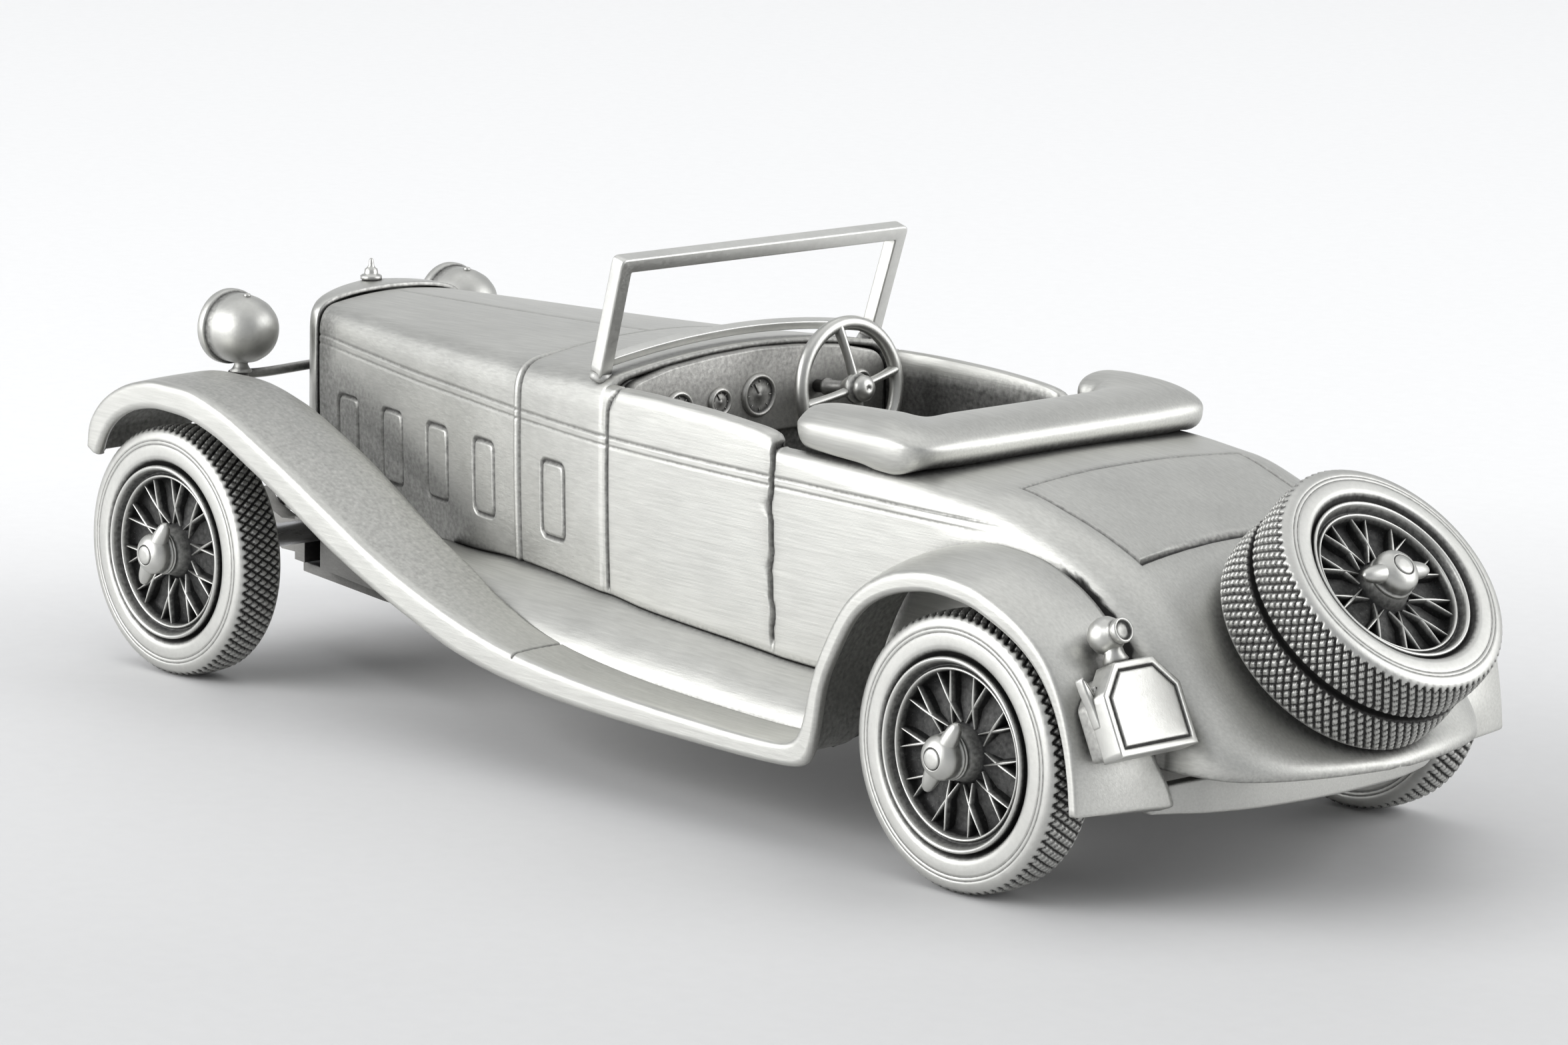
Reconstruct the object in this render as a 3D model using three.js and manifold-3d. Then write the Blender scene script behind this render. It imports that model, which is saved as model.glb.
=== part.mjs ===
// A satin pewter collector car, about 1:43: a long-bonnet open two-seater of the 1930s.
// Millimetres, +X forward, +Y to the car's left, +Z up. The origin is on the ground, at the
// centre of the car's length and width.
import * as THREE from "three";
import { mergeVertices } from "three/addons/utils/BufferGeometryUtils.js";
import Module from "manifold-3d";
const wasm = await Module();
wasm.setup();

// ---------- driving dimensions ----------
const REAR_AXLE_X = -33.1; // place of the rear axle along the car
const WHEELBASE = 81.0;
const AXLE_Z = 9.06; // rolling radius
const TYRE_R = 9.06;
const TYRE_Y = 18.35; // middle of a tyre from the centreline
const TYRE_HALF_W = 1.9;
const TYRE_BORE_R = 6.55;
const RIM_R = 6.25;
const AXLE_R = 0.9;
const AXLE_HALF = 20.3;
const AXLE_SLOT = 2.3; // width of the slots that hold the axles in the chassis
const CLEAR = 0.3; // gap between neighbouring castings
const BASE_BOTTOM = 5.3; // underside of the base plate above the ground
const BASE_TOP = 6.1;
const CHASSIS_BOTTOM = 6.4;
const CHASSIS_TOP = 9.6;
const SKIN = 1.35; // wall of the body casting
const SCREW_FRONT_X = 62; // from the rear axle
const SCREW_REAR_X = 10;
const SPARE_SCALE = 0.94;
const SPARE_PITCH = (44 * Math.PI) / 180; // how far the spare wheel's axis tips up
const SPARE_X = -18.4; // outer shoulder plane of the outer spare tyre, on its axis
const SPARE_Z = 21.0;
const STEER = { x: 37.2, y: -5.5, z: 24.5, r: 4.5, tube: 0.45, tilt: 0.102 };
const LAMP = { x: 85.2, y: 10.4, z: 24.1, r: 2.65 };
const TYRE_SEGMENTS = 24;

// Body stations, x from the rear axle:
// [x, half width at the belt, top on the centreline, fall of the top at the side,
//  corner width, corner height, bottom of the side]
const BODY = [
  [80.0, 6.95, 26.35, 0.75, 1.5, 1.7, 11.4],
  [73.0, 8.2, 26.5, 0.85, 1.6, 1.8, 11.4],
  [66.0, 9.5, 26.65, 1.0, 1.7, 1.9, 11.5],
  [59.0, 10.75, 26.85, 1.15, 1.8, 2.0, 11.7],
  [52.0, 12.0, 27.1, 1.25, 1.9, 2.1, 12.1],
  [47.0, 12.8, 27.45, 1.35, 1.9, 2.2, 12.0],
  [43.4, 13.3, 27.65, 1.4, 1.9, 2.2, 11.8],
  [41.65, 13.5, 27.7, 1.4, 1.8, 2.1, 11.7],
  [41.35, 13.52, 26.35, 0.35, 0.9, 0.9, 11.7],
  [37.0, 13.8, 26.35, 0.3, 0.9, 0.9, 11.3],
  [32.0, 14.0, 26.25, 0.3, 0.9, 0.9, 11.0],
  [27.0, 14.05, 25.95, 0.3, 0.9, 0.9, 10.7],
  [24.4, 14.05, 25.6, 0.3, 1.0, 1.1, 10.5],
  [23.3, 14.05, 24.75, 0.35, 0.9, 1.0, 10.4],
  [17.0, 14.0, 24.75, 0.4, 1.3, 1.5, 10.2],
  [11.0, 13.9, 24.8, 0.5, 2.2, 2.6, 10.1],
  [5.0, 13.8, 24.6, 0.65, 3.2, 3.7, 10.0],
  [0.0, 13.65, 23.4, 0.7, 3.4, 4.1, 10.0],
  [-5.0, 13.3, 21.45, 0.75, 3.5, 4.4, 10.0],
  [-8.8, 12.95, 18.95, 1.0, 3.7, 4.6, 9.95],
  [-10.8, 12.8, 17.2, 1.3, 3.9, 4.4, 9.0],
  [-13.0, 12.55, 15.0, 1.5, 4.0, 3.5, 8.95],
  [-14.8, 12.0, 13.25, 1.45, 3.8, 2.3, 8.9],
  [-16.2, 10.95, 11.95, 1.25, 3.6, 1.4, 8.85],
  [-17.4, 9.0, 10.9, 0.9, 3.2, 0.9, 8.85],
  [-18.4, 6.3, 10.15, 0.5, 2.6, 0.6, 8.85],
  [-19.2, 2.9, 9.6, 0.25, 1.5, 0.35, 8.87],
];
// Wing stations, front to back along one side:
// [x, z of the outer crease, x, z of the lip's lower edge, inner edge y, crown, inner fall]
const WING = [
  [89.97, 15.57, 88.82, 14.97, 13.6, 0.1, 0.3],
  [89.87, 16.87, 88.22, 16.17, 12.6, 0.15, 0.8],
  [88.92, 18.47, 87.42, 17.22, 11.9, 0.2, 1.3],
  [87.12, 19.87, 86.02, 18.27, 11.4, 0.2, 1.7],
  [84.72, 20.87, 84.12, 19.02, 11.1, 0.2, 2],
  [81.92, 21.37, 81.72, 19.37, 10.9, 0.2, 2.1],
  [78.82, 21.32, 79.02, 19.27, 10.9, 0.25, 2.1],
  [74.91, 20.47, 75.61, 18.52, 11.1, 0.4, 2],
  [70.3, 18.62, 71.3, 16.72, 11.5, 0.6, 1.8],
  [65.79, 16.57, 66.79, 14.62, 12.2, 0.8, 1.5],
  [61.39, 14.47, 62.29, 12.37, 13.1, 0.85, 1.1],
  [56.98, 12.47, 57.68, 10.42, 14.1, 0.85, 0.7],
  [52.47, 10.82, 52.97, 8.72, 15.1, 0.75, 0.3],
  [47.97, 9.47, 48.27, 7.27, 15.9, 0.6, 0.1],
  [43.46, 8.47, 43.66, 6.42, 16.3, 0.4, 0],
  [37.55, 7.77, 37.55, 5.82, 16.3, 0.22, 0],
  [31.44, 7.32, 31.44, 5.57, 16.3, 0.15, 0],
  [25.23, 7.07, 25.23, 5.47, 16.3, 0.12, 0],
  [19.22, 6.92, 19.22, 5.42, 16.3, 0.12, 0],
  [15.81, 6.97, 14.71, 5.57, 16.2, 0.15, 0],
  [14.21, 7.57, 13.11, 6.07, 15.6, 0.25, 0],
  [13.61, 8.87, 12.46, 8.07, 14.8, 0.45, 0],
  [12.91, 11.47, 11.91, 11.07, 14.25, 0.75, 0],
  [11.46, 14.67, 10.51, 14.07, 14.2, 1, 0],
  [9.81, 17.17, 9.01, 16.37, 14.2, 1.1, 0],
  [7.8, 18.82, 7.3, 17.72, 14.2, 1.1, 0],
  [5, 19.97, 4.7, 18.72, 14.2, 1.1, 0],
  [2.09, 20.37, 1.99, 19.12, 14.2, 1.1, 0],
  [-0.81, 20.17, -0.71, 18.92, 14.2, 1.1, 0],
  [-3.8, 19.27, -3.3, 18.12, 14.2, 1.1, 0],
  [-6.3, 17.8, -5.6, 16.85, 14.2, 1.1, 0],
  [-8.1, 15.9, -7.35, 15.15, 14.2, 1.1, 0],
  [-9.3, 13.45, -8.6, 13.05, 14.2, 1.1, 0],
  [-10.05, 10.95, -9.4, 10.7, 14.1, 1.1, 0],
  [-10.45, 8.7, -9.8, 8.5, 13.5, 1.05, 0],
  [-10.65, 7.1, -9.95, 6.85, 12.9, 0.9, 0],
];
const WING_OUT = 20.6; // outer face of the wings
const WING_TAPER = 0.6; // how far that face comes in at the tail
const WING_T = 1.05; // wing thickness
const WING_CREST = 15.0; // line of the crown

// ---------- materials ----------
const metal = (hex, rough) =>
  new THREE.MeshStandardMaterial({ color: hex, roughness: rough, metalness: 0.95 });
const pewter = () => metal(0xb4b3ad, 0.38);
const darkPewter = () => metal(0x5b5a57, 0.5);
const steel = () => metal(0xc3c4c6, 0.25);

// ---------- geometry helpers ----------
const V = (x, y, z) => new THREE.Vector3(x, y, z);

function bare(geometry) {
  const g = geometry.index ? geometry.toNonIndexed() : geometry.clone();
  for (const k of Object.keys(g.attributes)) if (k !== "position") g.deleteAttribute(k);
  return mergeVertices(g, 1e-4);
}
function solid(geometry) {
  const g = bare(geometry);
  const tri = new Uint32Array(g.index.array);
  const keep = [];
  for (let i = 0; i < tri.length; i += 3)
    if (tri[i] !== tri[i + 1] && tri[i + 1] !== tri[i + 2] && tri[i] !== tri[i + 2])
      keep.push(tri[i], tri[i + 1], tri[i + 2]);
  return new wasm.Manifold(
    new wasm.Mesh({
      numProp: 3,
      vertProperties: new Float32Array(g.attributes.position.array),
      triVerts: new Uint32Array(keep),
    }),
  );
}
function geometryOf(manifold) {
  const m = manifold.getMesh();
  const pos = new Float32Array(m.numVert * 3);
  for (let i = 0; i < m.numVert; i++)
    for (let k = 0; k < 3; k++) pos[i * 3 + k] = m.vertProperties[i * m.numProp + k];
  const g = new THREE.BufferGeometry();
  g.setAttribute("position", new THREE.BufferAttribute(pos, 3));
  g.setIndex(new THREE.BufferAttribute(new Uint32Array(m.triVerts), 1));
  g.computeVertexNormals();
  return g;
}
const join = (...gs) => geometryOf(gs.map(solid).reduce((a, b) => a.add(b)));
const cut = (g, ...tools) => geometryOf(tools.map(solid).reduce((a, b) => a.subtract(b), solid(g)));
const common = (a, b) => geometryOf(solid(a).intersect(solid(b)));

// A closed solid through rings of equal point count, its ends capped flat.
function loft(rings) {
  const n = rings[0].length;
  const pos = [];
  for (const r of rings) for (const p of r) pos.push(p.x, p.y, p.z);
  const idx = [];
  for (let i = 0; i + 1 < rings.length; i++)
    for (let j = 0; j < n; j++) {
      const a = i * n + j,
        b = i * n + ((j + 1) % n),
        c = (i + 1) * n + j,
        d = (i + 1) * n + ((j + 1) % n);
      idx.push(a, b, d, a, d, c);
    }
  const cap = (ring, base, flip) => {
    const c = ring.reduce((s, p) => s.add(p), V(0, 0, 0)).divideScalar(n);
    let nx = V(0, 0, 0);
    for (let j = 0; j < n; j++)
      nx.add(ring[j].clone().sub(c).cross(ring[(j + 1) % n].clone().sub(c)));
    nx.normalize();
    const u = (Math.abs(nx.x) < 0.7 ? V(1, 0, 0) : V(0, 1, 0)).cross(nx).normalize();
    const w = nx.clone().cross(u);
    const flat = ring.map((p) => new THREE.Vector2(p.clone().sub(c).dot(u), p.clone().sub(c).dot(w)));
    for (const t of THREE.ShapeUtils.triangulateShape(flat, []))
      flip ? idx.push(base + t[2], base + t[1], base + t[0]) : idx.push(base + t[0], base + t[1], base + t[2]);
  };
  cap(rings[0], 0, true);
  cap(rings[rings.length - 1], (rings.length - 1) * n, false);
  // Turn every face round if the volume comes out negative.
  let vol = 0;
  const P = (i) => V(pos[3 * i], pos[3 * i + 1], pos[3 * i + 2]);
  for (let i = 0; i < idx.length; i += 3) vol += P(idx[i]).dot(P(idx[i + 1]).cross(P(idx[i + 2])));
  if (vol < 0) for (let i = 0; i < idx.length; i += 3) [idx[i + 1], idx[i + 2]] = [idx[i + 2], idx[i + 1]];
  const g = new THREE.BufferGeometry();
  g.setAttribute("position", new THREE.BufferAttribute(new Float32Array(pos), 3));
  g.setIndex(idx);
  return g;
}
// A lathe solid about an axis: profile points are [radius, distance along the axis].
function turned(profile, segments, origin, axis) {
  const g = new THREE.LatheGeometry(profile.map(([r, t]) => new THREE.Vector2(r, t)), segments);
  // Lathe turns about +Y; a profile drawn outwards then upwards may need reversing.
  let b = bare(g);
  const m = b.index.array,
    p = b.attributes.position.array;
  let vol = 0;
  const P = (i) => V(p[3 * i], p[3 * i + 1], p[3 * i + 2]);
  for (let i = 0; i < m.length; i += 3) vol += P(m[i]).dot(P(m[i + 1]).cross(P(m[i + 2])));
  if (vol < 0) {
    const r = new THREE.LatheGeometry(profile.slice().reverse().map(([a, t]) => new THREE.Vector2(a, t)), segments);
    b = bare(r);
  }
  const q = new THREE.Quaternion().setFromUnitVectors(V(0, 1, 0), axis.clone().normalize());
  b.applyQuaternion(q);
  b.translate(origin.x, origin.y, origin.z);
  return b;
}
const box = (x0, x1, y0, y1, z0, z1) => {
  const g = new THREE.BoxGeometry(x1 - x0, y1 - y0, z1 - z0);
  g.translate((x0 + x1) / 2, (y0 + y1) / 2, (z0 + z1) / 2);
  return g;
};
const rod = (a, b, r, seg = 12, r2 = r) => {
  const axis = b.clone().sub(a);
  const L = axis.length();
  return turned([[0, 0], [r, 0], [r2, L], [0, L]], seg, a, axis);
};
// An outline in (y, z) given a thickness along x.
function slabX(points, x0, x1) {
  return loft([points.map(([y, z]) => V(x0, y, z)), points.map(([y, z]) => V(x1, y, z))]);
}
function slabZ(points, z0, z1) {
  return loft([points.map(([x, y]) => V(x, y, z0)), points.map(([x, y]) => V(x, y, z1))]);
}
function tube(points, r, sides, steps, closed = false) {
  const curve = new THREE.CatmullRomCurve3(points, closed, "centripetal");
  const shape = new THREE.Shape();
  for (let i = 0; i < sides; i++) {
    const a = (i / sides) * 2 * Math.PI;
    i ? shape.lineTo(r * Math.cos(a), r * Math.sin(a)) : shape.moveTo(r * Math.cos(a), r * Math.sin(a));
  }
  shape.closePath();
  return new THREE.ExtrudeGeometry(shape, { steps, extrudePath: curve, bevelEnabled: false, curveSegments: 1 });
}

// ---------- the body's section ----------
function at(table, x) {
  if (x >= table[0][0]) return table[0].slice(1);
  for (let i = 0; i + 1 < table.length; i++)
    if (x <= table[i][0] && x >= table[i + 1][0]) {
      const k = (table[i][0] - x) / (table[i][0] - table[i + 1][0]);
      return table[i].slice(1).map((v, j) => v + (table[i + 1][j + 1] - v) * k);
    }
  return table[table.length - 1].slice(1);
}
function bodyRing(x, inset = 0, dropTop = 0, bottom = null, row = null) {
  const [w0, zt0, c, ry, rz, zb0] = row || at(BODY, x);
  const w = w0 - inset,
    zt = zt0 - dropTop,
    zb = bottom === null ? zb0 : bottom;
  const ze = zt - c; // the top's height at the side
  const zc = Math.max(ze - rz, zb + 0.15); // where the corner starts on the side
  const yc = Math.max(w - ry, 0.2 * w);
  const ztAt = (y) => zt - c * (y / w) ** 2;
  const belt = Math.min(22.4, zc);
  const side = (z) =>
    z < belt
      ? w - 0.45 * ((belt - z) / 12) ** 2 - 0.0
      : w - 0.12 * ((z - belt) / Math.max(0.5, 4)) ** 2;
  const half = [];
  half.push([side(zb), zb]);
  half.push([side(zb + (zc - zb) * 0.45), zb + (zc - zb) * 0.45]);
  const s0 = [side(zc), zc],
    s2 = [yc, ztAt(yc)];
  const s1 = [s0[0], Math.min(ze + 0.08, s2[1])];
  for (const t of [0, 0.28, 0.55, 0.8, 1]) {
    const a = (1 - t) ** 2,
      b = 2 * t * (1 - t),
      d = t * t;
    half.push([a * s0[0] + b * s1[0] + d * s2[0], a * s0[1] + b * s1[1] + d * s2[1]]);
  }
  half.push([yc * 0.5, ztAt(yc * 0.5)]);
  const ring = half.map(([y, z]) => V(x, y, z));
  ring.push(V(x, 0, zt));
  for (const [y, z] of half.slice().reverse()) ring.push(V(x, -y, z));
  return ring;
}

// ---------- castings ----------
const parts = new Map();
const add = (name, geometry, material) => parts.set(name, [geometry, material]);

// Body casting: bonnet, cowl, doors and tail in one hollow shell, open underneath.
{
  let outer = solid(loft(BODY.map((row) => bodyRing(row[0], 0, 0, null, row.slice(1)))));
  const cavity = (xs, inset, drop) =>
    solid(loft(xs.map((x) => bodyRing(x, inset, drop, 4))));
  outer = outer.subtract(cavity([78.6, 73, 66, 59, 52, 47, 43.2], SKIN, SKIN));
  outer = outer.subtract(cavity([14.6, 11, 5, 0, -5, -8.8, -11.5], SKIN, SKIN + 0.4));
  // Cockpit well, open at the top.
  const well = [41.6, 37, 32, 27, 23, 19, 17].map((x) => {
    const w = at(BODY, Math.min(x, 41.3))[0] - SKIN;
    return [V(x, w, 4), V(x, w, 31), V(x, -w, 31), V(x, -w, 4)];
  });
  outer = outer.subtract(solid(loft(well)));
  // Bosses for the two body screws.
  for (const [x, foot, top] of [[SCREW_FRONT_X, 11.4, 26.6], [SCREW_REAR_X, 9.95, 23.6]]) {
    outer = outer.add(solid(rod(V(x, 0, foot), V(x, 0, top), 2.4, 16)));
    outer = outer.subtract(solid(rod(V(x, 0, 4), V(x, 0, 16), 1.05, 16)));
  }
  add("body_shell", geometryOf(outer), pewter());
}

// Chassis: a thick floor with a slot across it for each axle, and two front horns.
const CHASSIS_HALF = [
  [83.6, 6.3], [80.0, 6.9], [72.0, 8.7], [64.0, 10.0], [56.0, 11.5], [48.0, 12.4], [12.0, 12.4], [-8.5, 12.2],
];
{
  const outline = CHASSIS_HALF.map(([x, y]) => [x, y]).concat(CHASSIS_HALF.slice().reverse().map(([x, y]) => [x, -y]));
  let g = solid(slabZ(outline, CHASSIS_BOTTOM, CHASSIS_TOP));
  for (const s of [1, -1])
    g = g.add(
      solid(
        loft([
          [83.0, 9.4, 6.9], [85.4, 9.2, 6.9], [87.4, 9.9, 8.2], [88.6, 11.0, 9.8],
        ].map(([x, top, bot]) => [V(x, s * 4.7, bot), V(x, s * 6.1, bot), V(x, s * 6.1, top), V(x, s * 4.7, top)])),
      ),
    );
  // A raised step under the bonnet, high enough to roof over the front axle.
  g = g.add(
    solid(
      slabZ([[83.4, 6.2], [72.0, 8.2], [60.0, 10.2], [60.0, -10.2], [72.0, -8.2], [83.4, -6.2]], CHASSIS_TOP - 0.1, 11.05),
    ),
  );
  for (const x of [0, WHEELBASE]) {
    g = g.subtract(solid(box(x - AXLE_SLOT / 2, x + AXLE_SLOT / 2, -15, 15, 5, AXLE_Z)));
    g = g.subtract(solid(rod(V(x, -15, AXLE_Z), V(x, 15, AXLE_Z), AXLE_SLOT / 2, 16)));
  }
  for (const x of [SCREW_FRONT_X, SCREW_REAR_X])
    g = g.subtract(solid(rod(V(x, 0, 5), V(x, 0, 12), 1.05, 16)));
  for (const s of [1, -1]) {
    g = g.add(solid(box(-2.6, -1.3, Math.min(s * 9, s * 11.5), Math.max(s * 9, s * 11.5), 9.2, 10.9)));
    g = g.add(solid(box(1.3, 2.6, Math.min(s * 9, s * 11.5), Math.max(s * 9, s * 11.5), 9.2, 10.9)));
  }
  g = g.add(solid(box(-2.6, 2.6, -11.5, 11.5, 10.35, 11.2)));
  add("chassis_plate", geometryOf(g), pewter());
}
// Base plate with a rib under each axle that keeps it in its slot.
{
  const pts = [[84.0, 5.2], [72.0, 7.4], [60.0, 8.2], [-6.5, 8.2]];
  const outline = pts.concat(pts.slice().reverse().map(([x, y]) => [x, -y]));
  let g = solid(slabZ(outline, BASE_BOTTOM, BASE_TOP));
  for (const x of [0, WHEELBASE])
    g = g.add(solid(box(x - 0.8, x + 0.8, -4.6, 4.6, BASE_TOP - 0.3, AXLE_Z - AXLE_R - 0.15)));
  for (const x of [SCREW_FRONT_X, SCREW_REAR_X]) {
    g = g.subtract(solid(rod(V(x, 0, 4), V(x, 0, 8), 1.0, 16)));
    g = g.subtract(solid(rod(V(x, 0, 4), V(x, 0, BASE_BOTTOM + 0.5), 2.0, 16)));
  }
  add("base_plate", geometryOf(g), pewter());
}
for (const [name, x] of [["base_screw_front", SCREW_FRONT_X], ["base_screw_rear", SCREW_REAR_X]]) {
  const head = turned(
    [[0, 0], [1.6, 0], [1.6, 0.25], [0.7, 0.25], [0.7, 9.2], [0.35, 9.7], [0, 9.7]],
    16, V(x, 0, BASE_BOTTOM + 0.06), V(0, 0, 1),
  );
  add(name, cut(head, box(x - 1.3, x + 1.3, -0.18, 0.18, BASE_BOTTOM - 1, BASE_BOTTOM + 0.2)), steel());
}

// Wings: front wing, running board and rear wing in one sweep on each side.
function wingRing(row, s) {
  const [xo, zo, xl, zl, yin, h, fall] = row;
  const d = V(xl - xo, 0, zl - zo);
  const T = d.length();
  d.normalize();
  const yc = Math.max(WING_CREST, yin);
  const top = (y) =>
    y >= yc ? -h * (1 - ((y - yc) / (WING_OUT - yc)) ** 2) : -h + fall * ((yc - y) / Math.max(0.3, yc - yin)) ** 2;
  const t = Math.min(WING_T, 0.62 * T);
  const mid = yc > yin + 0.6 ? (yin + yc) / 2 : yin + 0.3;
  const pts = [
    [yin, top(yin)],
    [mid, top(mid)],
    [Math.max(yc, yin + 0.6), top(Math.max(yc, yin + 0.6))],
    [18.1, top(18.1)],
    [19.8, top(19.8)],
    [WING_OUT - 0.25, top(WING_OUT - 0.25)],
    [WING_OUT, 0.3],
    [WING_OUT, T],
    [WING_OUT - 0.85, T],
    [WING_OUT - 1.0, top(19.3) + t + 0.05],
    [18.1, top(18.1) + t],
    [Math.max(yc, yin + 0.6), top(Math.max(yc, yin + 0.6)) + t],
    [mid, top(mid) + t],
    [yin, top(yin) + t],
  ];
  const e = Math.min(1, Math.max(0, (-3 - xo) / 7.5));
  const squeeze = (y) => (y < 15 ? y : 15 + (y - 15) * (1 - (WING_TAPER * e * e * (3 - 2 * e)) / (WING_OUT - 15)));
  return pts.map(([y, q]) => V(xo + d.x * q, s * squeeze(y), zo + d.z * q));
}
for (const [name, s] of [["wing_left", 1], ["wing_right", -1]])
  add(name, loft(WING.map((row) => wingRing(row, s))), pewter());

// Splash aprons between the body's lower edge and the running boards.
const wingInner = (x) => {
  for (let i = 0; i + 1 < 19; i++)
    if (x <= WING[i][0] && x >= WING[i + 1][0]) {
      const k = (WING[i][0] - x) / (WING[i][0] - WING[i + 1][0]);
      const q = (j) => WING[i][j] + (WING[i + 1][j] - WING[i][j]) * k;
      return [q(4), q(1) + q(5) - q(6)];
    }
  return [16.2, 7.2];
};
for (const [name, s] of [["splash_apron_left", 1], ["splash_apron_right", -1]]) {
  const rings = [60, 56, 52, 47.5, 43, 37, 31, 25, 19.5, 16.4].map((x) => {
    const [w, , , , , zb] = at(BODY, x);
    const [yi, zi] = wingInner(x);
    const yo = yi - 0.35,
      inner = Math.min(w - 0.5, yo - 0.9);
    return [
      V(x, s * inner, zb - 0.35),
      V(x, s * yo, zi + 0.45),
      V(x, s * yo, zi - 0.75),
      V(x, s * (Math.max(inner - 0.4, 12.75 < inner ? 12.75 : inner - 0.4)), Math.min(zb - 1.7, zi + 1.0)),
    ];
  });
  add(name, loft(rings), pewter());
}

// Valance across the back, under the tail.
{
  const pts = [[12.5, -11.9], [10.5, -12.65], [6, -13.7], [0, -14.2], [-6, -13.7], [-10.5, -12.65], [-12.5, -11.9]];
  const rings = pts.map(([y, x]) => [V(x, y, 6.3), V(x, y, 8.4), V(x + 1.1, y, 8.4), V(x + 1.1, y, 6.3)]);
  add("rear_valance", loft(rings), pewter());
}
// Apron between the front horns.
add(
  "front_apron",
  loft([
    [V(84.2, -4.3, 11.6), V(84.2, 4.3, 11.6), V(84.2, 4.3, 10.5), V(84.2, -4.3, 10.5)],
    [V(86.8, -4.3, 11.2), V(86.8, 4.3, 11.2), V(86.8, 4.3, 10.1), V(86.8, -4.3, 10.1)],
    [V(88.4, -4.3, 10.0), V(88.4, 4.3, 10.0), V(87.7, 4.3, 9.1), V(87.7, -4.3, 9.1)],
  ]),
  pewter(),
);

// Radiator, its face a shallow V, with a round-shouldered outline.
{
  const outline = [];
  const w = 7.0;
  outline.push([-w + 0.2, 11.4], [w - 0.2, 11.4], [w, 18]);
  for (const [y, z] of [[7.0, 24.0], [6.85, 25.1], [6.2, 25.9], [4.9, 26.35], [2.5, 26.65], [0, 26.75]]) outline.push([y, z]);
  for (const [y, z] of [[2.5, 26.65], [4.9, 26.35], [6.2, 25.9], [6.85, 25.1], [7.0, 24.0]]) outline.push([-y, z]);
  outline.push([-w, 18]);
  const face = slabX(outline, 79, 86);
  const plan = slabZ([[80.3, -9], [80.9, -9], [81.3, -7.0], [83.5, 0], [81.3, 7.0], [80.9, 9], [80.3, 9]], 5, 32);
  let g = solid(face).intersect(solid(plan));
  // Sunk grille behind the surround.
  const grille = [];
  for (const [y, z] of outline) grille.push([y * 0.82, 18.2 + (z - 18.2) * 0.84]);
  const sunk = solid(slabX(grille, 79, 86)).intersect(
    solid(slabZ([[81.0, -7.0], [83.15, 0], [81.0, 7.0], [86, 9], [86, -9]], 5, 32)),
  );
  g = g.subtract(sunk);
  add("radiator", geometryOf(g), pewter());
}
add(
  "radiator_cap",
  turned([[0, 0], [0.8, 0], [0.8, 0.3], [0.52, 0.42], [0.46, 0.75], [0.24, 1.0], [0.18, 1.45], [0, 1.6]], 14, V(82.65, 0, 27.05), V(0, 0, 1)),
  pewter(),
);

// Headlamps: bullet shells on a cross bar.
for (const [name, s] of [["headlamp_left", 1], ["headlamp_right", -1]]) {
  const { x, y, z, r } = LAMP;
  const bullet = turned(
    [[0, -2.75], [0.9, -2.6], [1.7, -2.05], [2.3, -1.15], [2.5, 0.2], [2.5, 1.0], [r, 1.15], [r, 1.75], [2.3, 1.9], [1.4, 2.1], [0, 2.2]],
    16, V(x, s * y, z), V(1, 0, 0),
  );
  const foot = rod(V(x, s * y, z - 2.95), V(x, s * y, z - 2.0), 0.62, 12);
  add(name, join(bullet, foot), pewter());
}
add(
  "headlamp_bar",
  join(
    tube([V(85.2, 10.6, 20.45), V(85.1, 8, 20.35), V(84.9, 4, 20.5), V(84.8, 0, 20.6), V(84.9, -4, 20.5), V(85.1, -8, 20.35), V(85.2, -10.6, 20.45)], 0.36, 8, 18),
    rod(V(85.2, 10.4, 20.1), V(85.2, 10.4, 20.85), 0.75, 12),
    rod(V(85.2, -10.4, 20.1), V(85.2, -10.4, 20.85), 0.75, 12),
  ),
  pewter(),
);

// Windscreen frame, leaning back over the cowl.
{
  const foot = V(42.85, 0, 26.15),
    head = V(40.3, 0, 35.15);
  const up = head.clone().sub(foot);
  const H = up.length();
  up.normalize();
  const shape = [
    [-13.05, 0.6], [-13.05, H - 0.35], [-12.75, H], [12.75, H], [13.05, H - 0.35], [13.05, 0.6], [12.1, 0.6], [12.1, 0.95],
    [11.6, 1.1], [9, 1.55], [5, 1.95], [0, 2.1], [-5, 1.95], [-9, 1.55], [-11.6, 1.1], [-12.1, 0.95], [-12.1, 0.6],
  ];
  const hole = [
    [-12.0, 1.95], [-9, 2.42], [-5, 2.8], [0, 2.95], [5, 2.8], [9, 2.42], [12.0, 1.95], [11.9, H - 1.1], [-11.9, H - 1.1],
  ];
  const s = new THREE.Shape(shape.map(([a, b]) => new THREE.Vector2(a, b)));
  s.holes.push(new THREE.Path(hole.map(([a, b]) => new THREE.Vector2(a, b))));
  const g = new THREE.ExtrudeGeometry(s, { depth: 0.85, bevelEnabled: false, curveSegments: 1 });
  // Sheet (u, v, depth) to (y, along the lean, across the lean).
  const across = V(0, 1, 0).clone().cross(up).normalize(); // points forward and up
  const m = new THREE.Matrix4().makeBasis(V(0, 1, 0), up, V(0, 1, 0).cross(up).normalize());
  g.applyMatrix4(m);
  g.translate(foot.x - across.x * 0.42, 0, foot.z - across.z * 0.42);
  add("windscreen_frame", bare(g), pewter());
}

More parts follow.
